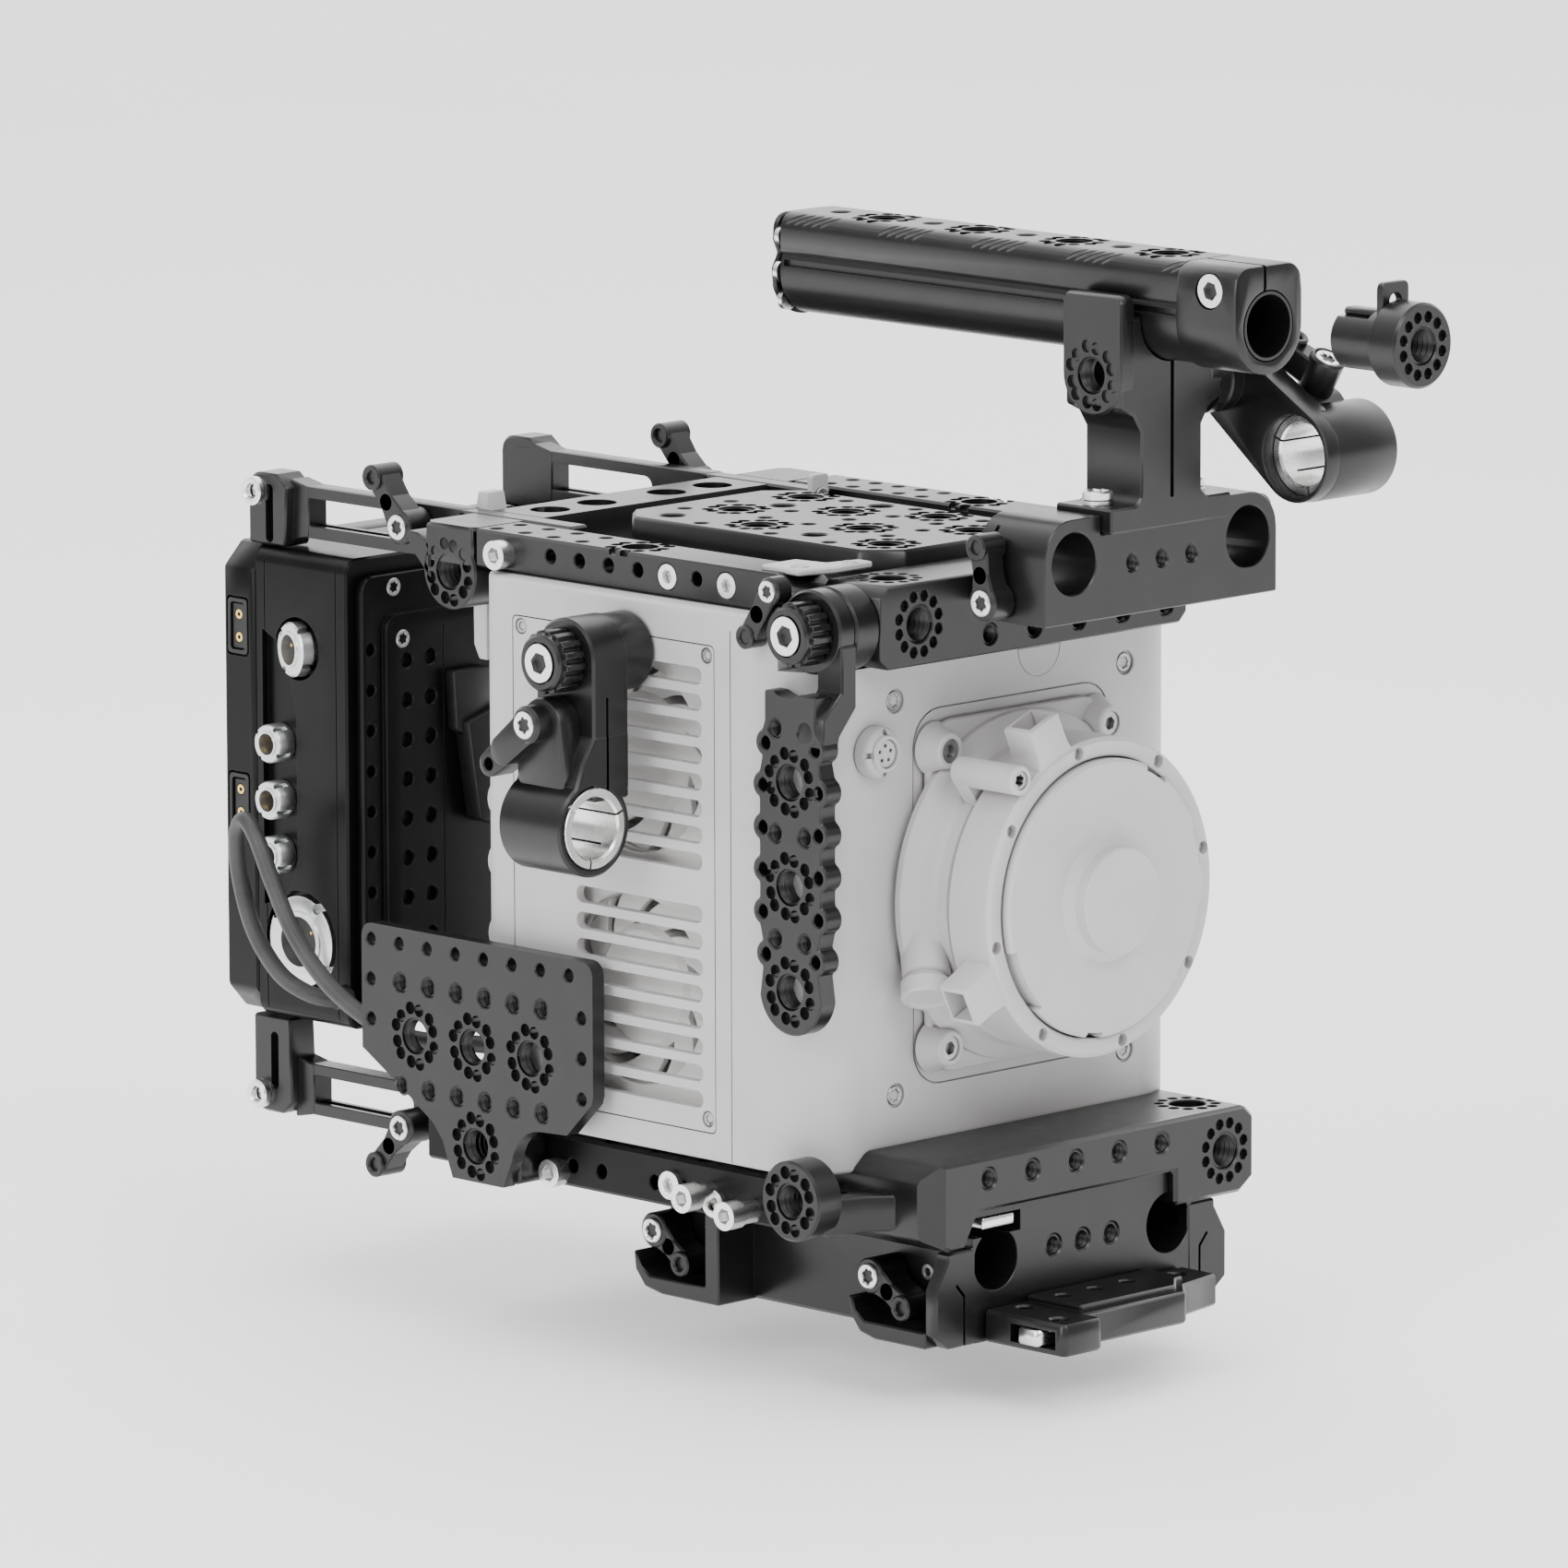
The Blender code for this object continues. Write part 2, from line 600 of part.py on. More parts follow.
def base_plate():
    """The rod base: two full-length 15 mm bores, with a pocket for each clamp lever."""
    half = BASE_HALF + 3.5
    right = [(-47, BASE_BOTTOM), (-half, -101), (-half, -81), (-46, -78), (-46, BASE_TOP)]
    outline = right + [(-a, b) for a, b in right[::-1]]
    rods = [circle(s * ROD_HALF_SPACING, -LENS_TO_RODS, ROD_R, 20) for s in (-1, 1)]
    screws = [circle(x, -84.5, 2.6, 10) for x in (-10, 0, 10)]
    base = prism("base_plate", "anodised", "Y", 0, BASE_LENGTH, outline, rods + screws)
    tools = []
    for s in (-1, 1):
        x0, x1 = sorted((s * BASE_HALF, s * 60))
        p0, p1 = sorted((s * 38.3, s * 60))
        tools.append(block("waist", "anodised", (x0, 30, -120), (x1, 74, -60)))
        tools.append(block("front_pocket", "anodised", (p0, 4, -100.3), (p1, 29.9, -60)))
        tools.append(block("rear_pocket", "anodised", (p0, 79, -100.3), (p1, 120, -60)))
    tools.append(block("right_relief", "anodised", (-60, -5, -81), (-37.7, 21, -60)))
    tools.append(block("left_relief", "anodised", (29.7, -5, -81), (60, 21, -60)))
    tools.append(block("tab_notch", "anodised", (-40, -5, -79), (-21.5, 12.5, -73.9)))
    return cut(base, *tools)


def base_levers():
    """The four cam levers of the rod base."""
    for side, word in ((-1, "right"), (1, "left")):
        low, high = sorted((side * 40, side * 50))
        lever(f"base_lever_front_{word}", "X", low, high, (24, -89.7), (13, -96.0), 4.4, 3.2)
        lever(f"base_lever_rear_{word}", "X", low, high, (98.2, -89.4), (88.5, -96.4), 4.4, 3.2)


def quick_release_plate():
    """The dovetail plate in front of the base's lower edge."""
    outline = [(-34.5, -27), (-22, -27), (-22, -21), (14, -21), (20, -15), (34.5, -12), (34.5, -GAP), (-34.5, -GAP)]
    plate = prism("quick_release_plate", "anodised", "Z", BASE_BOTTOM + 0.2, -96.5, outline)
    latch_bay = block("latch_bay", "anodised", (-40, -24, -103), (-23.5, -9, -98.5))
    return cut(plate, latch_bay)


def safety_latch():
    """The silver latch in the side of the quick-release plate."""
    return pivot(block("safety_latch", "silver", (-36, -20, -102.7), (-27.3, -12, -98.8)), (-27.3, -16, -100.7))


def release_tab():
    """The silver tab above the right-hand rod."""
    return pivot(block("release_tab", "silver", (-35, -0.4, -77.1), (-24, 8, -74.2)), (-29, 4, -75.6))


def lower_cage():
    """Every piece of the cage's lower half and the rod base."""
    lower_rail(-1)
    lower_rail(1)
    for piece in (side_plate, cage_bottom_plate, lower_front_bar, base_plate, base_levers,
                  quick_release_plate, safety_latch, release_tab):
        piece()


# ---- rear module -------------------------------------------------------------------------
def module_body():
    """The power module's housing, with its connector pits on the operator's right."""
    body = prism("module_body", "anodised", "Y", MODULE_FRONT, 239, rounded(-MODULE_HALF, -54.5, MODULE_HALF, 64.5, 4))
    pits = bores("X", -60, -42, [(222, 41.7), (222, -32.6)], 6.5, 16)
    bay = block("board_bay", "anodised", (-46, 210, -50.5), (46, 250, 60.5))
    return cut(body, pits, bay)


def battery_plate():
    """The slab that takes the battery."""
    outline = [(-44, -54.5), (44, -54.5), (50, -48), (50, 58.5), (44, 64.5), (-44, 64.5), (-50, 58.5), (-50, -48)]
    plate = prism("battery_plate", "black_plastic", "Y", 239.3, 250.5, outline)
    key = block("key_slot", "black_plastic", (-15, 243.5, -30), (15, 260, 45))
    return cut(plate, key)


def module_front_plate():
    """The cheese plate on the module's front face."""
    holes = [circle(x, z, 2.1, 8) for x in (-35, -25) for z in range(-35, 46, 10)]
    return prism("module_front_plate", "anodised", "Y", 201, MODULE_FRONT - GAP, rounded(-47, -50, 47, 60, 4), holes)


def extension_arm(name, side, top):
    """One of the four slotted arms that hold the module to the cage."""
    zc, toe = (74.0, 64.9) if top else (-72.5, -54.9)
    x0, x1 = sorted((side * (ARM_X - 6), side * ARM_X))
    arm = prism(name, "anodised", "X", x0, x1, rounded(166.5, zc - 6.5, 243, zc + 6.5, 3, 2),
                [rounded(188, zc - 2.5, 220, zc + 3.5, 2.4, 2)])
    tongue_z = (74, 80.3) if top else (-79, BASE_TOP - GAP)
    tongue = block(name + "_tongue", "anodised", (x0, 130, min(tongue_z)), (x1, 170, max(tongue_z)))
    foot_z = sorted((toe, zc + (9 if top else -7)))
    foot_x = sorted((side * (ARM_X - 5.5), side * (ARM_X + 3)))
    foot = block(name + "_foot", "anodised", (foot_x[0], 228, foot_z[0]), (foot_x[1], 243.2, foot_z[1]))
    return unite(arm, foot, tongue)


def rear_levers():
    """The cam levers on the outer side of each arm."""
    for side, word in ((-1, "right"), (1, "left")):
        low, high = sorted((side * (ARM_X + GAP), side * (ARM_X + 9)))
        lever(f"arm_lever_top_{word}", "X", low, high, (183, 75.5), (192, 87.0), 4.3, 3.2)
        lever(f"arm_lever_bottom_{word}", "X", low, high, (184, -75.5), (193, -86.0), 4.3, 3.2)


def cable_points():
    """The power cable's route: out of the module, up in a loop, down behind the side plate."""
    return [(-51, 207, -46), (-54, 208.5, -46), (-58, 212, -44.5), (-61, 219, -40), (-63, 226, -30), (-64, 230, -17),
            (-65.5, 229.5, -6), (-67, 225, -1), (-68, 219.5, -5), (-68, 214, -15), (-67.5, 207, -27),
            (-66.5, 198, -37), (-65, 188, -44), (-62, 178, -49), (-57, 169, -51), (-52, 160, -51), (-50, 152, -51),
            (-50, CAM_REAR + 0.5, -51)]


def smooth(points, step):
    """Evenly spaced points along a Catmull-Rom curve through the given ones."""
    run = [Vector(p) for p in points]
    ends = [run[0] * 2 - run[1]] + run + [run[-1] * 2 - run[-2]]
    dense = []
    for p0, p1, p2, p3 in zip(ends, ends[1:], ends[2:], ends[3:]):
        for k in range(12):
            t = k / 12
            dense.append(0.5 * (2 * p1 + (p2 - p0) * t + (2 * p0 - 5 * p1 + 4 * p2 - p3) * t * t
                                + (3 * p1 - p0 - 3 * p2 + p3) * t ** 3))
    dense.append(run[-1])
    kept, gone = [dense[0]], 0.0
    for a, b in zip(dense, dense[1:]):
        gone += (b - a).length
        if gone >= step:
            kept.append(b)
            gone = 0.0
    kept[-1] = dense[-1]
    return kept


def cable():
    """The power cable as a round tube."""
    curve = bpy.data.curves.new("cable", "CURVE")
    curve.dimensions = "3D"
    curve.bevel_depth = CABLE_R * MM
    curve.bevel_resolution = 2
    curve.use_fill_caps = True
    points = smooth(cable_points(), 5.0)
    spline = curve.splines.new("POLY")
    spline.points.add(len(points) - 1)
    for slot, p in zip(spline.points, points):
        slot.co = (*to_frame(p), 1.0)
    curve.materials.append(MATERIALS["cable_rubber"])
    obj = bpy.data.objects.new("cable", curve)
    bpy.context.scene.collection.objects.link(obj)


def rear_module():
    """Every piece of the rear module."""
    for piece in (module_body, battery_plate, module_front_plate, rear_levers, cable):
        piece()
    for side, word in ((-1, "right"), (1, "left")):
        extension_arm(f"arm_top_{word}", side, True)
        extension_arm(f"arm_bottom_{word}", side, False)


# ---- build -------------------------------------------------------------------------------
for old in list(bpy.data.objects):
    bpy.data.objects.remove(old)
MATERIALS = {name: make_material(name, *look) for name, look in LOOKS.items()}
camera()
top_cage()
handle()
arms()
lower_cage()
rear_module()
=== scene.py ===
"""The cinema camera rig's looks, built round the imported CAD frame.

Shapes are given in millimetres on the drawing: X from the lens axis, Y from the front face of the
rod base, Z from the lens axis. The camera looks along -Y. place() turns them into frame metres.
"""

import math

import bmesh
import bpy
from mathutils import Matrix, Vector
from mathutils.geometry import delaunay_2d_cdt


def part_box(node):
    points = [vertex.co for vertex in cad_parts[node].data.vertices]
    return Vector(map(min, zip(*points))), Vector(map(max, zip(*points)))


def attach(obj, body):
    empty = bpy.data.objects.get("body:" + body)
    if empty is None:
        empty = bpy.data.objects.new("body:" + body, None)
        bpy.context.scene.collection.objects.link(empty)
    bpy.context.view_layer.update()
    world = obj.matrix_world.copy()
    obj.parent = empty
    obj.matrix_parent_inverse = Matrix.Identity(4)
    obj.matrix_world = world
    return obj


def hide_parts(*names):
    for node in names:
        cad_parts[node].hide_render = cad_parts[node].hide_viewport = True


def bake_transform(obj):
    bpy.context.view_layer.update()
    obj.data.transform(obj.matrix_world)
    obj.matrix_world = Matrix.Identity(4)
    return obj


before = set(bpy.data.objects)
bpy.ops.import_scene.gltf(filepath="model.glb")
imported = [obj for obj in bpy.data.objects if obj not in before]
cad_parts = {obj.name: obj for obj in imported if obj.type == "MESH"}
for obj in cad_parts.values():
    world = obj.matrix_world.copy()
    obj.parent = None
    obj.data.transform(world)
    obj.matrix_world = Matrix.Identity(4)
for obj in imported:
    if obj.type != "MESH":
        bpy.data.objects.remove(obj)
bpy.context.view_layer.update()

# ---- the drawing's frame -----------------------------------------------------------------
MM = 0.001
cap_low, cap_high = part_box("mount_cap")
base_low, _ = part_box("base_plate")
LENS_AXIS = Vector(((cap_low[0] + cap_high[0]) / 2, base_low[1], (cap_low[2] + cap_high[2]) / 2))
PLANES = {"X": (1, 2, 0), "Y": (0, 2, 1), "Z": (0, 1, 2)}
LENS = (0.0, 0.0)
RIG = "rig"


def place(point):
    """A drawing point in frame metres."""
    return Vector(point) * MM + LENS_AXIS


def span(node):
    """A node's lowest and highest corners in drawing millimetres."""
    return [[(c - o) / MM for c, o in zip(corner, LENS_AXIS)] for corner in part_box(node)]


# ---- materials ---------------------------------------------------------------------------
def shader_of(name):
    """A new material with its node tree and Principled shader."""
    material = bpy.data.materials.new(name)
    material.use_nodes = True
    tree = material.node_tree
    return material, tree, tree.nodes["Principled BSDF"]


def noise(tree, scale, detail=4.0, rough=0.55):
    """Object-space noise, with its scale per metre."""
    where = tree.nodes.new("ShaderNodeTexCoord")
    texture = tree.nodes.new("ShaderNodeTexNoise")
    texture.inputs["Scale"].default_value = scale
    texture.inputs["Detail"].default_value = detail
    texture.inputs["Roughness"].default_value = rough
    tree.links.new(where.outputs["Object"], texture.inputs["Vector"])
    return texture.outputs["Fac"]


def ramp(tree, value, low, high, start=0.35, stop=0.65):
    """A value spread between two colours."""
    node = tree.nodes.new("ShaderNodeValToRGB")
    node.color_ramp.elements[0].position = start
    node.color_ramp.elements[1].position = stop
    node.color_ramp.elements[0].color = (*low, 1.0)
    node.color_ramp.elements[1].color = (*high, 1.0)
    tree.links.new(value, node.inputs["Fac"])
    return node.outputs["Color"]


def spread(tree, value, low, high):
    """A value moved into a range."""
    node = tree.nodes.new("ShaderNodeMapRange")
    node.inputs["To Min"].default_value = low
    node.inputs["To Max"].default_value = high
    tree.links.new(value, node.inputs["Value"])
    return node.outputs["Result"]


def bump(tree, shader, value, depth, strength=1.0):
    """Fine relief of a given depth in metres."""
    node = tree.nodes.new("ShaderNodeBump")
    node.inputs["Distance"].default_value = depth
    node.inputs["Strength"].default_value = strength
    tree.links.new(value, node.inputs["Height"])
    tree.links.new(node.outputs["Normal"], shader.inputs["Normal"])


def shaded(tree, colour, dark, reach, full=0.75):
    """A colour with painted shade: it darkens in recesses, by ambient occlusion."""
    covered = tree.nodes.new("ShaderNodeAmbientOcclusion")
    covered.inputs["Distance"].default_value = reach
    covered.samples = 8
    open_part = tree.nodes.new("ShaderNodeMapRange")
    open_part.inputs["From Min"].default_value = 0.15
    open_part.inputs["From Max"].default_value = full
    tree.links.new(covered.outputs["AO"], open_part.inputs["Value"])
    mix = tree.nodes.new("ShaderNodeMix")
    mix.data_type = "RGBA"
    tree.links.new(open_part.outputs["Result"], mix.inputs["Factor"])
    mix.inputs["A"].default_value = (*dark, 1.0)
    tree.links.new(colour, mix.inputs["B"])
    return mix.outputs["Result"]


def painted_edge_highlight(tree, colour, edge, width):
    """A colour that turns paler on sharp outer edges: a painted highlight along the chamfers."""
    geometry = tree.nodes.new("ShaderNodeNewGeometry")
    soft = tree.nodes.new("ShaderNodeBevel")
    soft.inputs["Radius"].default_value = width
    dot = tree.nodes.new("ShaderNodeVectorMath")
    dot.operation = "DOT_PRODUCT"
    tree.links.new(geometry.outputs["Normal"], dot.inputs[0])
    tree.links.new(soft.outputs["Normal"], dot.inputs[1])
    mask = tree.nodes.new("ShaderNodeMapRange")
    mask.inputs["From Min"].default_value = 0.98
    mask.inputs["From Max"].default_value = 0.80
    tree.links.new(dot.outputs["Value"], mask.inputs["Value"])
    mix = tree.nodes.new("ShaderNodeMix")
    mix.data_type = "RGBA"
    tree.links.new(mask.outputs["Result"], mix.inputs["Factor"])
    tree.links.new(colour, mix.inputs["A"])
    mix.inputs["B"].default_value = (*edge, 1.0)
    return mix.outputs["Result"]


def anodised(name, dark, gloss):
    """Bead-blasted black anodised aluminium."""
    material, tree, shader = shader_of(name)
    tone = ramp(tree, noise(tree, 90, 3), (dark, dark, 1.05 * dark), (1.6 * dark, 1.6 * dark, 1.65 * dark))
    # painted highlight: the black turns paler along the sharp edges
    tree.links.new(painted_edge_highlight(tree, tone, (0.030, 0.030, 0.031), 0.00035), shader.inputs["Base Color"])
    tree.links.new(spread(tree, noise(tree, 260, 5), 0.25, 0.36), shader.inputs["Roughness"])
    shader.inputs["Metallic"].default_value = 0.0
    shader.inputs["Specular IOR Level"].default_value = gloss
    bump(tree, shader, noise(tree, 5200, 2), 0.00003, 0.5)
    return material


def camera_grey():
    """Light warm grey powder coat."""
    material, tree, shader = shader_of("camera_grey")
    tone = ramp(tree, noise(tree, 60, 3), (0.490, 0.478, 0.476), (0.520, 0.508, 0.505))
    # painted shade: the grey darkens in recesses
    tree.links.new(shaded(tree, tone, (0.16, 0.155, 0.15), 0.0016), shader.inputs["Base Color"])
    tree.links.new(spread(tree, noise(tree, 300, 4), 0.50, 0.62), shader.inputs["Roughness"])
    bump(tree, shader, noise(tree, 3600, 3), 0.00004, 0.45)
    return material


def light_grey():
    """The paler moulded grey inside the cooling bay."""
    material, tree, shader = shader_of("light_grey")
    tone = ramp(tree, noise(tree, 80, 3), (0.74, 0.73, 0.72), (0.80, 0.79, 0.78))
    tree.links.new(tone, shader.inputs["Base Color"])
    tree.links.new(spread(tree, noise(tree, 300, 4), 0.55, 0.68), shader.inputs["Roughness"])
    return material


def bright_metal(name, tint, low, high, sockets=False):
    """Turned or plated bright metal with fine tool marks; with sockets, painted shade darkens the drive
    recesses.
    """
    material, tree, shader = shader_of(name)
    tone = ramp(tree, noise(tree, 700, 3), [0.93 * c for c in tint], tint)
    # painted shade in the drive recesses
    if sockets:
        tone = shaded(tree, tone, (0.02, 0.02, 0.02), 0.0022, 0.55)
    tree.links.new(tone, shader.inputs["Base Color"])
    shader.inputs["Metallic"].default_value = 1.0
    tree.links.new(spread(tree, noise(tree, 1500, 4), low, high), shader.inputs["Roughness"])
    bump(tree, shader, noise(tree, 4200, 2), 0.00001, 0.5)
    return material


def black_plastic():
    """Moulded black plastic with a fine texture."""
    material, tree, shader = shader_of("black_plastic")
    tone = ramp(tree, noise(tree, 120, 3), (0.0035, 0.0035, 0.0036), (0.006, 0.006, 0.0062))
    tree.links.new(tone, shader.inputs["Base Color"])
    tree.links.new(spread(tree, noise(tree, 500, 4), 0.34, 0.50), shader.inputs["Roughness"])
    bump(tree, shader, noise(tree, 2600, 4), 0.00006, 0.5)
    return material


def cable_rubber():
    """Smooth black cable jacket."""
    material, tree, shader = shader_of("cable_rubber")
    tone = ramp(tree, noise(tree, 150, 4), (0.028, 0.028, 0.029), (0.042, 0.042, 0.043))
    tree.links.new(tone, shader.inputs["Base Color"])
    tree.links.new(spread(tree, noise(tree, 400, 4), 0.40, 0.55), shader.inputs["Roughness"])
    bump(tree, shader, noise(tree, 1500, 5), 0.00004, 0.5)
    return material


def sensor_glass():
    """The sensor's dark coated glass."""
    material, tree, shader = shader_of("sensor_glass")
    tone = ramp(tree, noise(tree, 40, 2), (0.02, 0.04, 0.06), (0.05, 0.03, 0.06))
    tree.links.new(tone, shader.inputs["Base Color"])
    tree.links.new(spread(tree, noise(tree, 200, 2), 0.05, 0.12), shader.inputs["Roughness"])
    return material


LOOKS = {
    "anodised": anodised("anodised", 0.0040, 0.48),
    # a darker, duller copy of the anodised look: partly a darker finish on the module, partly painted shade
    # on the low rails and plates that sit in shade
    "darker_black_and_shade": anodised("darker_black_and_shade", 0.0022, 0.17),
    "camera_grey": camera_grey(),
    "silver": bright_metal("silver", (0.88, 0.88, 0.87), 0.20, 0.32),
    "bolt": bright_metal("bolt", (0.90, 0.90, 0.89), 0.24, 0.34, True),
    "steel": bright_metal("steel", (0.74, 0.75, 0.76), 0.30, 0.42),
    "grey_screw": bright_metal("grey_screw", (0.42, 0.42, 0.42), 0.34, 0.44, True),
    "light_grey": light_grey(),
    "brass": bright_metal("brass", (0.86, 0.58, 0.22), 0.18, 0.28),
    "black_plastic": black_plastic(),
    "cable_rubber": cable_rubber(),
    "sensor_glass": sensor_glass(),
}


# ---- outlines ----------------------------------------------------------------------------
def arc(a, b, radius, start, stop, count):
    """Points along an arc, angles in degrees."""
    step = math.radians(stop - start) / count
    first = math.radians(start)
    return [(a + radius * math.cos(first + step * i), b + radius * math.sin(first + step * i))
            for i in range(count + 1)]


def circle(a, b, radius, count=32):
    """A round outline."""
    return arc(a, b, radius, 0, 360, count)[:-1]


def rounded(a0, b0, a1, b1, radius, count=5):
    """A rectangle with round corners; count 1 gives chamfers."""
    points = []
    for a, b, turn in ((a1, b1, 0), (a0, b1, 90), (a0, b0, 180), (a1, b0, 270)):
        ca = a - math.copysign(radius, a - (a0 + a1) / 2)
        cb = b - math.copysign(radius, b - (b0 + b1) / 2)
        points += arc(ca, cb, radius, turn, turn + 90, count)
    return points


def rect(a0, b0, a1, b1):
    """A plain rectangle."""
    return [(a0, b0), (a1, b0), (a1, b1), (a0, b1)]


def hull(*discs, count=40):
    """The tight outline round several discs (a, b, radius)."""
    points = sorted(p for a, b, r in discs for p in circle(a, b, r, count))

    def half(ordered):
        """One side of the convex hull."""
        chain = []
        for p in ordered:
            while len(chain) > 1:
                (x0, y0), (x1, y1) = chain[-2], chain[-1]
                if (x1 - x0) * (p[1] - y0) - (y1 - y0) * (p[0] - x0) > 1e-7:
                    break
                chain.pop()
            chain.append(p)
        return chain[:-1]

    return half(points) + half(points[::-1])


def star(a, b, inner, outer, lobes, turn=0.0):
    """A six-lobe drive or other wavy outline."""
    count = lobes * 6
    mid, swing = (inner + outer) / 2, (outer - inner) / 2
    return [(a + (mid + swing * math.cos(lobes * t)) * math.cos(t + turn),
             b + (mid + swing * math.cos(lobes * t)) * math.sin(t + turn))
            for t in (2 * math.pi * k / count for k in range(count))]


def inside(point, loops):
    """Whether a point is in the outline and out of its holes."""
    x, y = point
    odd = False
    for loop in loops:
        for (x0, y0), (x1, y1) in zip(loop, loop[1:] + loop[:1]):
            if (y0 > y) != (y1 > y) and x < x0 + (y - y0) * (x1 - x0) / (y1 - y0):
                odd = not odd
    return odd


# ---- shapes ------------------------------------------------------------------------------
def mesh_of(verts, faces):
    """A mesh with consistent outward faces, from drawing points."""
    mesh = bpy.data.meshes.new("shape")
    mesh.from_pydata([place(v) for v in verts], [], faces)
    bm = bmesh.new()
    bm.from_mesh(mesh)
    bmesh.ops.remove_doubles(bm, verts=bm.verts, dist=1e-7)
    bmesh.ops.recalc_face_normals(bm, faces=bm.faces)
    bm.to_mesh(mesh)
    bm.free()
    return mesh


def merge_flat(mesh):
    """Joins flat neighbouring faces, so that edges break cleanly."""
    bm = bmesh.new()
    bm.from_mesh(mesh)
    bmesh.ops.dissolve_limit(bm, angle_limit=math.radians(0.5), verts=bm.verts, edges=bm.edges)
    bm.to_mesh(mesh)
    bm.free()


def shape(verts, faces, bevel=0.0, segments=1):
    """A loose shape, with an optional edge break."""
    obj = bpy.data.objects.new("shape", mesh_of(verts, faces))
    bpy.context.scene.collection.objects.link(obj)
    if bevel:
        merge_flat(obj.data)
        modifier = obj.modifiers.new("edge", "BEVEL")
        modifier.width = bevel * MM
        modifier.segments = segments
        modifier.limit_method = "ANGLE"
        modifier.angle_limit = math.radians(40)
    return obj


def prism_faces(axis, low, high, outline, holes=()):
    """Vertices and faces of an outline with holes, extruded along an axis."""
    loops = [list(outline)] + [list(h) for h in holes]
    flat, edges = [], []
    for loop in loops:
        first = len(flat)
        flat += [Vector(p) for p in loop]
        edges += [(first + i, first + (i + 1) % len(loop)) for i in range(len(loop))]
    points, _, triangles, *_ = delaunay_2d_cdt(flat, edges, [], 0, 1e-5)
    kept = [t for t in triangles if inside(sum((points[i] for i in t), Vector((0, 0))) / 3, loops)]
    ia, ib, depth = PLANES[axis]

    def lift(p, level):
        """A plane point at a level along the axis."""
        v = [0.0, 0.0, 0.0]
        v[ia], v[ib], v[depth] = p[0], p[1], level
        return v

    count = len(points)
    verts = [lift(p, low) for p in points] + [lift(p, high) for p in points]
    faces = [tuple(t[::-1]) for t in kept] + [tuple(i + count for i in t) for t in kept]
    rims = {}
    for t in kept:
        for i, j in zip(t, t[1:] + t[:1]):
            key = (min(i, j), max(i, j))
            rims[key] = None if key in rims else (i, j)
    faces += [(i, j, j + count, i + count) for i, j in filter(None, rims.values())]
    return verts, faces


def prism(axis, low, high, outline, holes=(), bevel=0.35, segments=1):
    """An extruded outline with holes and broken edges."""
    return shape(*prism_faces(axis, low, high, outline, holes), bevel, segments)


def block(low, high, bevel=0.35):
    """A box with broken edges."""
    return prism("Z", low[2], high[2], rect(low[0], low[1], high[0], high[1]), (), bevel)


def turned_faces(axis, centre, profile, count):
    """Vertices and faces of a closed profile of (radius, level) turned about an axis."""
    ia, ib, depth = PLANES[axis]
    verts, rings = [], []
    for radius, level in profile:
        ring = []
        for k in range(1 if radius < 1e-6 else count):
            turn = 2 * math.pi * k / count
            v = [0.0, 0.0, 0.0]
            v[ia] = centre[0] + radius * math.cos(turn)
            v[ib] = centre[1] + radius * math.sin(turn)
            v[depth] = level
            ring.append(len(verts))
            verts.append(v)
        rings.append(ring)
    faces = []
    for near, far in zip(rings, rings[1:] + rings[:1]):
        for k in range(count):
            m = (k + 1) % count
            corners = [near[k % len(near)], near[m % len(near)], far[m % len(far)], far[k % len(far)]]
            face = list(dict.fromkeys(corners))
            if len(face) > 2:
                faces.append(face)
    return verts, faces


def turned(axis, centre, profile, count=48, bevel=0.0):
    """A turned shape."""
    return shape(*turned_faces(axis, centre, profile, count), bevel)


def bore(axis, centre, radius, face, depth, chamfer=0.35, through=False, count=24):
    """A drill: starts at a face and goes depth along the axis, with a chamfered mouth."""
    way = math.copysign(1.0, depth)
    out = 0.3 * way
    end = face + depth
    profile = [(0, face - out), (radius + chamfer + 0.3, face - out), (radius, face + chamfer * way)]
    if through:
        profile += [(radius, end - chamfer * way), (radius + chamfer + 0.3, end + out), (0, end + out)]
    else:
        profile += [(radius, end), (0, end)]
    return turned_faces(axis, centre, profile, count)


def slot_tool(axis, low, high, outline):
    """A plain extruded cutter."""
    return prism_faces(axis, low, high, outline)


def cut(obj, *tools):
    """Cuts tools, given as (vertices, faces), out of a shape. Tools of one call don't touch."""
    verts, faces = [], []
    for tool_verts, tool_faces in tools:
        first = len(verts)
        verts += tool_verts
        faces += [[i + first for i in f] for f in tool_faces]
    cutter = bpy.data.objects.new("cutter", mesh_of(verts, faces))
    bpy.context.scene.collection.objects.link(cutter)
    cutter.hide_render = True
    modifier = obj.modifiers.new("cut", "BOOLEAN")
    modifier.operation = "DIFFERENCE"
    modifier.solver = "EXACT"
    modifier.object = cutter
    return obj


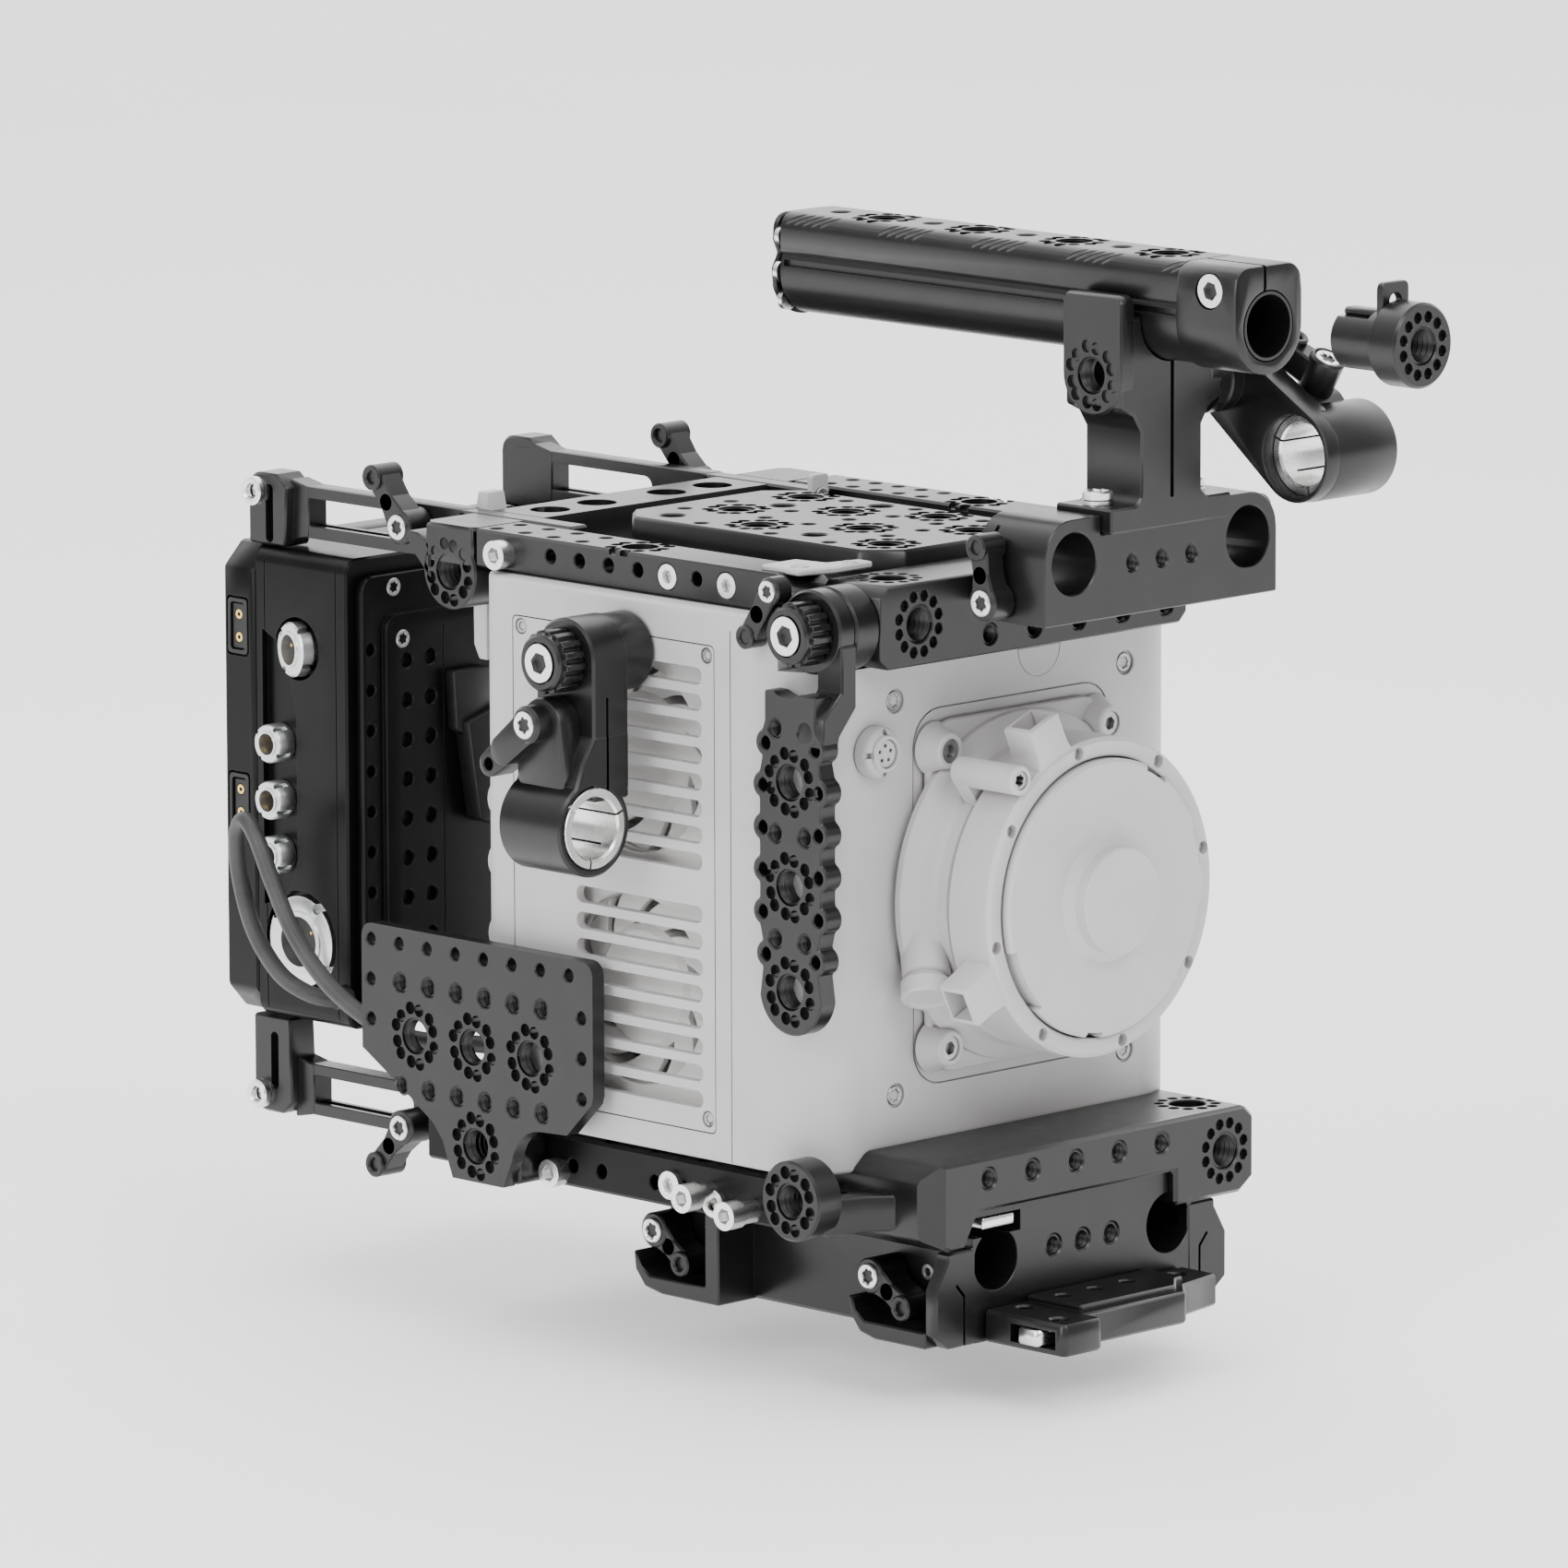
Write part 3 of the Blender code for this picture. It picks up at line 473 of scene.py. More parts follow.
def thread(axis, centre, radius, low, high, pitch=1.3, depth=0.55, count=20):
    """A cut thread's helix on the wall of a hole."""
    ia, ib, across = PLANES[axis]
    rows = int((high - low) / pitch * 2) + 4
    verts, faces = [], []
    for i in range(rows):
        for k in range(count):
            turn = 2 * math.pi * k / count
            r = radius if i % 2 else radius - depth
            level = min(max(low + pitch * (i / 2 - 1 + k / count), low), high)
            v = [0.0, 0.0, 0.0]
            v[ia] = centre[0] + r * math.cos(turn)
            v[ib] = centre[1] + r * math.sin(turn)
            v[across] = level
            verts.append(v)
    for i in range(rows - 1):
        for k in range(count):
            if k < count - 1:
                corners = (i * count + k, i * count + k + 1, (i + 1) * count + k + 1, (i + 1) * count + k)
            elif i + 3 < rows:
                corners = (i * count + k, (i + 2) * count, (i + 3) * count, (i + 1) * count + k)
            else:
                continue
            faces.append(corners)
    obj = shape(verts, faces)
    wall = obj.modifiers.new("wall", "SOLIDIFY")
    wall.thickness = 0.12 * MM
    wall.offset = 1.0
    return obj


def apply_modifiers(obj):
    """The shape's mesh with its modifiers applied."""
    graph = bpy.context.evaluated_depsgraph_get()
    return bpy.data.meshes.new_from_object(obj.evaluated_get(graph))


def drop(obj):
    """Removes a helper object and its mesh."""
    data = obj.data
    bpy.data.objects.remove(obj)
    bpy.data.meshes.remove(data)


def piece(name, look, body, shapes, replaced=(), crease=35.0):
    """Joins shapes into one finished piece that rides on a body."""
    bm = bmesh.new()
    for item in shapes:
        mesh = apply_modifiers(item)
        bm.from_mesh(mesh)
        bpy.data.meshes.remove(mesh)
    for item in shapes:
        for modifier in item.modifiers:
            if modifier.type == "BOOLEAN":
                drop(modifier.object)
        drop(item)
    bmesh.ops.dissolve_degenerate(bm, dist=1e-7, edges=bm.edges)
    mesh = bpy.data.meshes.new(name)
    bm.to_mesh(mesh)
    bm.free()
    mesh.shade_smooth()
    mesh.set_sharp_from_angle(angle=math.radians(crease))
    mesh.materials.append(LOOKS[look])
    obj = bpy.data.objects.new(name, mesh)
    bpy.context.scene.collection.objects.link(obj)
    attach(obj, body)
    if replaced:
        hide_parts(*replaced)
    return obj


# ---- hardware ----------------------------------------------------------------------------
ROSETTE_R = 6.9               # ring of the twelve register holes
ROSETTE_BORE_R = 4.6


def ring(a, b, radius, count, start=0.0):
    """Centres evenly round a circle."""
    return [(a + radius * math.cos(math.radians(start) + 2 * math.pi * k / count),
             b + radius * math.sin(math.radians(start) + 2 * math.pi * k / count)) for k in range(count)]


def joined_pair(first, second, radius):
    """The outline of two overlapping round holes."""
    gap = math.dist(first, second)
    turn = math.degrees(math.atan2(second[1] - first[1], second[0] - first[0]))
    half = math.degrees(math.acos(gap / 2 / radius))
    outline = arc(*second, radius, turn - 180 + half, turn + 180 - half, 14)[:-1]
    return outline + arc(*first, radius, turn + half, turn + 360 - half, 14)[:-1]


def rosette_tools(axis, centre, face, depth, through=False, reach=1.6, start=15.0, paired=True):
    """Drills for a rosette: a threaded bore in a ring of twelve register holes, often joined in pairs."""
    way = math.copysign(reach, depth)
    tools = [bore(axis, centre, ROSETTE_BORE_R, face, depth, 0.0 if paired else 0.3, through, 32)]
    if not paired:
        spots = ring(*centre, ROSETTE_R, 12, start)
        return tools + [bore(axis, c, 1.35, face, way, 0.15, count=16) for c in spots]
    low, high = sorted((face - 0.2 * math.copysign(1, depth), face + way))
    for k in range(6):
        first = ring(*centre, ROSETTE_R + 0.15, 1, start + 60 * k + 1.5)[0]
        second = ring(*centre, ROSETTE_R - 0.25, 1, start + 60 * k + 27.5)[0]
        tools.append(slot_tool(axis, low, high, joined_pair(first, second, 1.62)))
    return tools


def thread_from(axis, centre, face, depth, radius=ROSETTE_BORE_R, pitch=1.59, tooth=0.62):
    """The thread of a hole that starts at a face."""
    ends = sorted((face + math.copysign(0.5, depth), face + depth))
    return thread(axis, centre, radius, ends[0], ends[1], pitch, tooth, 24 if radius > 3 else 18)


def cap_screw(axis, centre, seat, height, radius, drive="hex", chamfer=0.45):
    """A screw head standing height above its seat, with a hex or six-lobe recess."""
    way = math.copysign(1.0, height)
    top = seat + height
    size = radius * 0.58
    if drive == "hex":
        recess = ring(*centre, size, 6, 11)
    else:
        recess = star(*centre, size * 0.78, size * 1.12, 6, 0.3)
    floor = top - way * max(abs(height) * 0.7, 1.5)
    rim = prism(axis, min(floor, top), max(floor, top), circle(*centre, radius, 36), [recess], chamfer)
    end = min(seat * way, floor * way - 0.4) * way
    core = turned(axis, centre, [(0, end), (radius - 0.05, end), (radius - 0.05, floor), (0, floor)], 36)
    return [rim, core]


# ---- camera ------------------------------------------------------------------------------
CAM_LOW, CAM_HIGH = span("camera_body")
CAM_RIGHT, CAM_FRONT, CAM_BOTTOM = CAM_LOW
CAM_LEFT, CAM_REAR, CAM_TOP = CAM_HIGH
COVER_LOW, COVER_HIGH = span("side_cover")
FRONT_SCREWS = [(x, z) for x in (-39.7, 39.7) for z in (49.0, -47.0)]
FLANGE_SCREWS = [(x, z) for x in (-27.7, 27.7) for z in (36.2, -36.2)]
SLOT_PITCH = 6.45
SLOT_LOW, SLOT_HIGH = 61.8, 105.4


def flush_screw(axis, centre, face, way, radius=2.5):
    """A countersunk six-lobe screw, just under a face; way points out of the body."""
    return cap_screw(axis, centre, face - 1.0 * way, 0.85 * way, radius, "lobe", 0.3)


def seam(axis, low, high, outline, width=0.28):
    """A thin cutter that runs round an outline."""
    count = len(outline)
    ca = sum(p[0] for p in outline) / count
    cb = sum(p[1] for p in outline) / count
    reach = max(math.dist(p, (ca, cb)) for p in outline)
    inner = [(ca + (a - ca) * (1 - width / reach), cb + (b - cb) * (1 - width / reach)) for a, b in outline]
    return prism_faces(axis, low, high, outline, [inner])


def camera_body():
    """The body casting with its seams, cooling bay, screws and front gasket line."""
    outline = rounded(CAM_RIGHT, CAM_FRONT, CAM_LEFT, CAM_REAR, 16.0, 12)
    body = prism("Z", CAM_BOTTOM, CAM_TOP, outline, (), 1.2, 3)
    cut(body, slot_tool("Z", 58.1, 90, rect(-80, 10, 80, 36.4)))
    cut(body, turned_faces("Y", LENS, [(0, 10), (28.5, 10), (28.5, 62), (0, 62)], 48))
    y0, z0, y1, z1 = COVER_LOW[1], COVER_LOW[2], COVER_HIGH[1], COVER_HIGH[2]
    cut(body, slot_tool("X", -80, -64.7, rounded(y0 - 0.3, z0 - 0.3, y1 + 0.3, z1 + 0.3, 1.5)))
    cut(body, slot_tool("X", -70, -46, rect(62, -55, 120, 58)))
    side = CAM_RIGHT
    uprights = [slot_tool("X", side - 1, side + 0.45, rect(y, -70, y + 0.3, 66)) for y in (51.9, 133.0)]
    flange_line = rounded(-34, -46, 34, 46, 9, 6)
    cap_line = arc(9.5, 56.6, 7.4, 180, 360, 16)
    cut(body, *uprights, *[bore("Y", c, 3.0, CAM_FRONT, 0.9, 0.25) for c in FRONT_SCREWS],
        seam("Y", CAM_FRONT - 1, CAM_FRONT + 0.5, flange_line, 0.5))
    cut(body, seam("Y", CAM_FRONT - 1, CAM_FRONT + 0.35, cap_line, 0.3))
    screws = []
    for c in FRONT_SCREWS:
        screws += flush_screw("Y", c, CAM_FRONT + 0.3, -1, 2.4)
    panel = prism("Y", CAM_REAR - 1.0, CAM_REAR + 0.8, rounded(-44, -56, 44, 60, 3.0, 4), (), 0.4)
    cut(panel, *[slot_tool("Y", CAM_REAR + 0.4, CAM_REAR + 2, rounded(-34, z, 34, z + 2.4, 1.1, 4))
                 for z in (-46, -40, -34, -28)])
    for c in ((-40.5, -52.5), (40.5, -52.5), (-40.5, 56.5), (40.5, 56.5)):
        screws += cap_screw("Y", c, CAM_REAR + 0.5, 0.7, 2.0, "lobe", 0.25)
    knobs = [turned("Y", (-51.5, z), [(0, 140), (5.4, 140), (5.4, CAM_REAR + 2.6), (4.6, CAM_REAR + 3.4),
                                      (0, CAM_REAR + 3.4)], 28) for z in (12.5, -3.0, -21.0)]
    piece("camera_casting", "camera_grey", RIG, [body, panel] + knobs, ["camera_body"], 30)
    piece("body_screws", "grey_screw", RIG, screws)


def side_cover():
    """The vent cover over the cooling bay, with two groups of round-ended slots."""
    y0, z0, y1, z1 = COVER_LOW[1], COVER_LOW[2], COVER_HIGH[1], COVER_HIGH[2]
    levels = [z0 + 5.5 + SLOT_PITCH * i for i in range(17) if i != 8]
    slots = [rounded(SLOT_LOW, z, SLOT_HIGH, z + 4.2, 2.0, 5) for z in levels]
    cover = prism("X", CAM_RIGHT, COVER_HIGH[0], rounded(y0, z0, y1, z1, 1.2, 3), slots, 0.4)
    spots = [(y0 + 2.6, z0 + 3.2), (y0 + 2.6, z1 - 2.4), (y1 - 2.6, z0 + 3.2), (y1 - 2.6, z1 - 2.4)]
    cut(cover, *[bore("X", c, 2.0, CAM_RIGHT, 0.8, 0.2) for c in spots])
    screws = []
    for c in spots:
        screws += flush_screw("X", c, CAM_RIGHT + 0.2, -1, 1.8)
    piece("vent_cover", "camera_grey", RIG, [cover], ["side_cover"])
    piece("cover_screws", "grey_screw", RIG, screws)
    shroud()


def shroud():
    """The pale plate behind the vents, with a round opening over each fan."""
    openings = []
    for name in ("fan_upper", "fan_lower"):
        low, high = span(name)
        openings.append(circle((low[1] + high[1]) / 2, (low[2] + high[2]) / 2,
                               (high[1] - low[1]) / 2 - 1.4, 56))
    low, high = span("fan_upper")
    plate = prism("X", low[0] - 1.8, low[0] - 0.5, rect(60.5, -54.6, 121.5, 57.6), openings, 0.3)
    backing = prism("X", -47.6, -46.4, rect(62.2, -54.8, 119.8, 57.8), (), 0.1)
    piece("fan_shroud", "light_grey", RIG, [plate, backing])


def fan(name):
    """A fan rotor: a domed hub and seven swept blades."""
    low, high = span(name)
    cy, cz = (low[1] + high[1]) / 2, (low[2] + high[2]) / 2
    radius = (high[1] - low[1]) / 2 - 0.3
    hub = turned("X", (cy, cz), [(0, low[0] + 0.6), (14.0, low[0] + 0.6), (15.5, low[0] + 2),
                                 (15.5, high[0]), (0, high[0])], 48)
    rim = turned("X", (cy, cz), [(radius - 1.2, low[0] + 1), (radius, low[0] + 1), (radius, high[0]),
                                 (radius - 1.2, high[0])], 56)
    blades = []
    for k in range(9):
        outline = []
        for i in range(7):
            turn = math.radians(40 * k + 5 * i)
            reach = 14.8 + (radius - 15.6) * i / 6
            outline.append((cy + reach * math.cos(turn), cz + reach * math.sin(turn)))
        for i in range(6, -1, -1):
            turn = math.radians(40 * k + 30 + 5 * i)
            reach = 14.8 + (radius - 15.6) * i / 6
            outline.append((cy + reach * math.cos(turn), cz + reach * math.sin(turn)))
        blades.append(prism("X", low[0] + 2, low[0] + 4, outline, (), 0.2))
    piece(name + "_rotor", "light_grey", name, [hub, rim] + blades, [name])


def sensor():
    """The sensor's glass in its frame."""
    low, high = span("sensor_block")
    glass = prism("Y", low[1], high[1], rounded(low[0], low[2], high[0], high[2], 2), (), 0.3)
    piece("sensor_window", "sensor_glass", RIG, [glass], ["sensor_block"])


def mount():
    """The flange plate on its bosses, and the fixed barrel with its skirt, stud and release."""
    low, high = span("mount_flange")
    plate = prism("Y", low[1] + 1.2, high[1], rounded(low[0], low[2], high[0], high[2], 9, 8),
                  [circle(*LENS, 27, 48)], 0.9, 2)
    raised = prism("Y", low[1] + 0.1, high[1] - 0.3, rounded(-25, -37, 25, 37, 6, 6),
                   [circle(*LENS, 27, 48)], 0.6, 2)
    bosses, heads = [], []
    for c in FLANGE_SCREWS:
        bosses.append(turned("Y", c, [(3.0, 17.2), (3.9, 17.2), (4.3, 17.6), (4.6, 19.4), (6.6, 22.9),
                                      (3.0, 22.9)], 36))
        heads += cap_screw("Y", c, 19.4, -1.7, 2.95, "hex", 0.3)
    piece("flange_plate", "camera_grey", RIG, [plate, raised] + bosses, ["mount_flange"])
    piece("flange_screws", "grey_screw", RIG, heads)
    low, high = span("mount_barrel")
    profile = [(27, high[1]), (27, low[1]), (33.6, low[1]), (33.6, 7.8), (35.4, 8.0), (35.6, 9.8),
               (36.6, 10.2), (36.8, 13.0), (38.0, 14.0), (38.6, 16.4), (39.6, 18.0), (41.6, 19.0),
               (42.6, high[1]), (42.6, 21.5), (27.5, 21.5)]
    barrel = turned("Y", LENS, profile, 96)
    stud_c = (-29.2, 32.2)
    stud = turned("Y", stud_c, [(2.3, -7.6), (3.1, -7.6), (3.6, -7.1), (3.6, 11.5), (2.3, 11.5)], 32)
    web = prism("Y", 8.6, 13.0, hull((*stud_c, 3.5), (-23.0, 25.4, 4.5)), (), 0.4)
    screw = cap_screw("Y", stud_c, 3.0, -10.2, 2.35, "lobe", 0.3)
    release = turned("Z", (0, 0), [(0, -0.4), (4.4, -0.4), (5.0, -1.0), (6.0, -1.0), (6.3, -0.6),
                                   (6.3, 3.2), (5.9, 3.6), (5.1, 3.9), (5.1, 4.6), (5.9, 5.2), (6.9, 17),
                                   (0, 17)], 36)
    cut(release, *[slot_tool("Z", -2, 2.6, rect(k - 0.3, -8, k + 0.3, 8)) for k in (-3.2, 0.0, 3.2)])
    lean = Vector((0.40, 0.40, 0.82)).to_track_quat("Z", "Y").to_matrix().to_4x4()
    turn_about([release], Vector((-39.4, 14.0, -21.3)), lean)
    piece("mount_body", "camera_grey", RIG, [barrel, stud, web, release], ["mount_barrel"])
    piece("mount_screw", "grey_screw", RIG, screw)


def lock_ring():
    """The lock ring with its two finger lugs and grip notches."""
    low, high = span("lock_ring")
    ring_shape = turned("Y", LENS, [(34.2, low[1] + 0.4), (34.8, low[1]), (37.9, low[1]),
                                    (38.9, low[1] + 1.0), (38.9, high[1] - 0.5), (38.4, high[1]),
                                    (34.2, high[1])], 96)
    notches = [bore("Y", c, 1.6, low[1], 2.2, 0.2, count=12) for c in ring(0, 0, 36.6, 8, 12)]
    cut(ring_shape, *notches)
    shapes = [ring_shape]
    for turn in (113, 206):
        c, s = math.cos(math.radians(turn)), math.sin(math.radians(turn))
        sides = ((37, 6.6), (40, 5.6), (43, 5.3), (48.6, 5.3))
        outline = [(r * c - w * s, r * s + w * c) for r, w in sides]
        outline += [(r * c + w * s, r * s - w * c) for r, w in sides[::-1]]
        lug = prism("Y", -5.4, 4, outline, (), 0.8, 2)
        pocket = [(q * c - p * s, q * s + p * c) for p, q in rect(-3.9, 42.0, 3.9, 52.0)]
        cut(lug, slot_tool("Y", -3.9, 2.6, pocket))
        shapes.append(lug)
    piece("lock_ring_grip", "camera_grey", "lock_ring", shapes, ["lock_ring"])


def mount_cap():
    """The mount cap with its raised centre and bayonet edge."""
    low, high = span("mount_cap")
    profile = [(0, low[1]), (12.6, low[1]), (13, low[1] + 0.4), (13.0, low[1] + 3.4),
               (15.5, low[1] + 5.3), (33.0, low[1] + 5.3), (33.8, low[1] + 6.0), (33.8, -1.5),
               (26.3, -1.5), (26.3, high[1]), (0, high[1])]
    cap = turned("Y", LENS, profile, 96)
    edge = [slot_tool("Y", -14, -3, arc(0, 0, 35, a, a + wide, 6) + arc(0, 0, 32.5, a + wide, a, 6))
            for a, wide in ((8, 16), (52, 13), (196, 30), (258, 9), (318, 34))]
    cut(cap, *edge)
    piece("mount_cap_lid", "camera_grey", "mount_cap", [cap], ["mount_cap"])


def front_connector():
    """The round control socket on the front, with its nut, insert and pins."""
    low, high = span("front_connector")
    c = ((low[0] + high[0]) / 2, (low[2] + high[2]) / 2)
    shell = turned("Y", c, [(3.6, low[1]), (4.2, low[1]), (4.6, low[1] + 0.5), (4.6, low[1] + 1.0),
                            (5.6, low[1] + 1.5), (6.2, low[1] + 2.4), (6.2, high[1]), (3.6, high[1])], 48)
    reach, wide, half = 5.3, 0.9, 0.7
    for swap in (False, True):
        slots = []
        for k in (-1, 1):
            a, b = (half, wide) if swap else (wide, half)
            p, q = (c[0], c[1] + reach * k) if swap else (c[0] + reach * k, c[1])
            slots.append(slot_tool("Y", low[1] - 1, low[1] + 2.2, rect(p - a, q - b, p + a, q + b)))
        cut(shell, *slots)
    holes = [circle(*p, 0.5, 12) for p in ring(*c, 1.9, 5, 18)]
    insert = prism("Y", low[1] + 0.9, high[1], circle(*c, 3.45), holes, 0.1)
    piece("control_socket", "camera_grey", RIG, [shell, insert], ["front_connector"])


def antenna():
    """The paddle aerial, tapered towards its tip, on a round stub."""
    low, high = span("antenna")
    cx, pivot_z = -33.7, 52.0
    y0, y1 = 167.5, high[1]
    verts = []
    stations = ((low[2], 3.2, 0.6), (46, 4.2, 0.95), (60, 4.2, 1.0), (74, 4.2, 1.0), (high[2], 3.0, 0.7))
    for z, half, thick in stations:
        mid = (y0 + y1) / 2
        t = (y1 - y0) / 2 * thick
        verts += [(cx - half, mid - t, z), (cx + half, mid - t, z), (cx + half, mid + t, z),
                  (cx - half, mid + t, z)]
    faces = [(0, 1, 2, 3), (16, 17, 18, 19)]
    faces += [(i * 4 + k, i * 4 + (k + 1) % 4, i * 4 + 4 + (k + 1) % 4, i * 4 + 4 + k)
              for i in range(4) for k in range(4)]
    paddle = shape(verts, faces, 0.6, 2)
    stub = turned("Y", (cx, pivot_z), [(0, low[1]), (3, low[1]), (3, 160), (3.6, 160), (3.6, 163), (3, 163),
                                       (3, 170), (0, 170)], 28)
    piece("aerial", "camera_grey", "antenna", [paddle, stub], ["antenna"])


def camera():
    """Every piece of the camera."""
    for make in (camera_body, side_cover, sensor, mount, lock_ring, mount_cap, front_connector, antenna):
        make()
    fan("fan_upper")
    fan("fan_lower")


# ---- top of the cage ---------------------------------------------------------------------
RAIL_HALF = span("top_left_rail")[1][0]
RAIL_TOP = span("top_left_rail")[1][2]
RAIL_UNDER = span("top_left_rail")[0][2]


def top_front_bar():
    """The bar across the camera's top front edge, with rosettes on its face and top."""
    low, high = span("top_front_bar")
    body = prism("Y", low[1], high[1], rounded(low[0], low[2], high[0], high[2], 2.5, 1), (), 0.4)
    front = low[1]
    cut(body, *rosette_tools("Y", (-39.8, 68.5), front, 12, paired=False), *[
        bore("Y", (-15.6 + 15.3 * i, 63.3), 2.6, front, 9) for i in range(5)])
    cut(body, *rosette_tools("Z", (-39.5, 26.5), high[2], -7, reach=1.2, paired=False))
    threads = [thread_from("Y", (-39.8, 68.5), front, 11)]
    threads += [thread_from("Y", (-15.6 + 15.3 * i, 63.3), front, 8, 2.6, 1.27, 0.5) for i in range(5)]
    piece("front_bar_top", "anodised", RIG, [body] + threads, ["top_front_bar"])


def top_rail(side):
    """A top rail with side holes and a two-row pattern of holes on top."""
    node = "top_right_rail" if side < 0 else "top_left_rail"
    low, high = span(node)
    outer = low[0] if side < 0 else high[0]
    way = -side
    outline = [(low[1], low[2]), (high[1], low[2]), (high[1], high[2]), (low[1] + 6, high[2]),
               (low[1], high[2] - 4)]
    rail = prism("X", low[0], high[0], outline, (), 0.6)
    sides = [(69.1 + 10.1 * i, 76.0) for i in range(6) if i not in (1,)]
    bolts = [(59.0, 75.5), (79.2, 75.5)]
    cut(rail, *[bore("X", c, 1.8, outer, 7 * way, 0.3, count=18) for c in sides],
        *[bore("X", c, 3.3, outer, 1.8 * way, 0.25, count=24) for c in bolts])
    if side < 0:
        tops = rosette_tools("Z", (-54.5, 96), high[2], -4, reach=1.4)
        flat = [(x, y) for y in (112, 122, 132, 142) for x in (-58.5, -50.5)]
    else:
        tops = rosette_tools("Z", (54.5, 88), high[2], -4, reach=1.4)
        flat = [(x, y) for y in (104, 112, 120, 128, 136) for x in (50.5, 58.5)]
    cut(rail, *tops, *[bore("Z", c, 1.8, high[2], -4, 0.25, count=16) for c in flat])
    piece(node + "_bar", "anodised", RIG, [rail], [node])
    heads = []
    for c in bolts:
        heads += cap_screw("X", c, outer + 1.6 * way, -1.5 * way, 3.1, "hex", 0.35)
    piece(node + "_bolts", "bolt", RIG, heads)


def top_centre_plate():
    """The cheese plate on top: two steps with rosettes and rows of threaded holes."""
    low, high = span("top_centre_plate")
    plate = prism("Z", low[2], high[2], rounded(low[0], low[1], high[0], high[1], 8, 1), (), 0.9)
    top = high[2]
    roses = [(-18, 48.5), (-18, 92), (-4, 70), (-4, 114), (12, 92), (12, 48.5), (22, 70), (22, 116)]
    wells = [(-20, 71), (-22, 118), (8, 110), (24, 92)]
    smalls = [(-26, 60), (-26, 80), (-26, 104), (-9, 57), (-9, 84), (-9, 99), (3, 57), (3, 82), (3, 102),
              (-12, 124), (4, 124), (14, 78), (13, 62), (24, 104), (26, 82), (24, 57)]
    tools = [t for c in roses for t in rosette_tools("Z", c, top, -8, reach=1.4)]
    cut(plate, *tools, *[bore("Z", c, 3.2, top, -6, 0.4) for c in wells])
    cut(plate, *[bore("Z", c, 1.9, top, -6, 0.3, count=18) for c in smalls])
    threads = [thread_from("Z", c, top, -7) for c in roses]
    piece("centre_cheese_plate", "anodised", RIG, [plate] + threads, ["top_centre_plate"])


def top_rear_bar():
    """The rear bar with big round holes, and the corner rosette on its ear."""
    notches = [rect(x - 3.4, 140, x + 3.4, 170) for x in (-42, 42)]
    bar = prism("Z", RAIL_UNDER, RAIL_TOP, rounded(-RAIL_HALF, 146.3, RAIL_HALF, 164, 2, 1),
                [circle(x, 155, 5.0) for x in (-28, -12, 12, 28)], 0.4)
    for n in notches:
        cut(bar, slot_tool("Z", 73.7, 90, n))
    outline = arc(155, 68.5, 9.3, 150, 390, 30) + [(163.6, 74), (163.4, RAIL_TOP - 0.4),
                                                   (147, RAIL_TOP - 0.4), (146.6, 74)]
    boss = prism("X", -RAIL_HALF - 0.3, -47, outline, (), 0.5)
    fin = prism("X", -RAIL_HALF - 0.3, -55, [(162, 75), (166.5, 77), (170, 77.2), (169.4, 73.2),
                                             (166, 70), (162, 66)], (), 0.5)
    cut(boss, *rosette_tools("X", (155, 68.5), -RAIL_HALF - 0.3, 14))
    inner = thread_from("X", (155, 68.5), -RAIL_HALF - 0.3, 13)
    piece("rear_bar_top", "anodised", RIG, [bar, boss, fin, inner], ["top_rear_bar"])
    head = cap_screw("X", (135.5, 75.0), -RAIL_HALF + 0.2, -4.2, 3.6, "hex", 0.5)
    piece("corner_bolt", "bolt", RIG, head)


def top_tags():
    """The pale clamp plate with two flat screws, and the small tag on the far arm."""
    clamp = prism("Z", RAIL_TOP - 0.4, RAIL_TOP + 1.2, [(-59, 37.5), (-50, 34.2), (-37, 34.2), (-37, 39),
                                                        (-46, 41), (-47.5, 50), (-59, 50)], (), 0.4)
    tag = prism("Y", 128.4, 130.2, rounded(36.5, 73.8, 42.5, 84.6, 1.2, 3), (), 0.3)
    piece("grey_plates", "camera_grey", RIG, [clamp, tag])
    screws = cap_screw("Z", (-55.0, 41.0), RAIL_TOP + 0.9, 0.55, 2.5, "lobe", 0.2)
    screws += cap_screw("Z", (-42.0, 36.8), RAIL_TOP + 0.9, 0.55, 2.1, "lobe", 0.2)
    screws += cap_screw("Y", (39.5, 79.2), 128.6, -1.0, 2.0, "lobe", 0.2)
    piece("grey_plate_screws", "grey_screw", RIG, screws)


def rod_bracket():
    """The clamp for two rods above the lens, with its tongue and fixing screws."""
    tongue_rear = span("rod_bracket")[1][1]
    front, back = -25.7, -3.6
    outline = [(-40, 72.1), (40, 72.1), (40, 88)] + arc(31, 88, 9, 0, 90, 8)
    outline += [(21, 97), (21, 92.3), (-21, 92.3), (-21, 97)] + arc(-31, 88, 9, 90, 180, 8)
    rods = [circle(s * 30, 86.35, 7.5, 48) for s in (-1, 1)]
    bracket = prism("Y", front, back, outline, rods, 0.5)
    cut(bracket, *[bore("Y", (x, 84.5), 2.1, front, 12, 0.4) for x in (-10.2, 0, 10.2)])
    tongue = prism("Z", 72.1, 88, rounded(-22, -5, 22, tongue_rear, 2, 1), (), 0.6)
    slits = [slot_tool("Z", 60, 110, rect(s * 43 - 6, -8.6, s * 43 + 6, -7.4)) for s in (-1, 1)]
    cut(bracket, *slits)
    threads = [thread_from("Y", (x, 84.5), front, 10, 2.1, 1.0, 0.4) for x in (-10.2, 0, 10.2)]
    piece("rod_clamp_top", "anodised", RIG, [bracket, tongue] + threads, ["rod_bracket"])


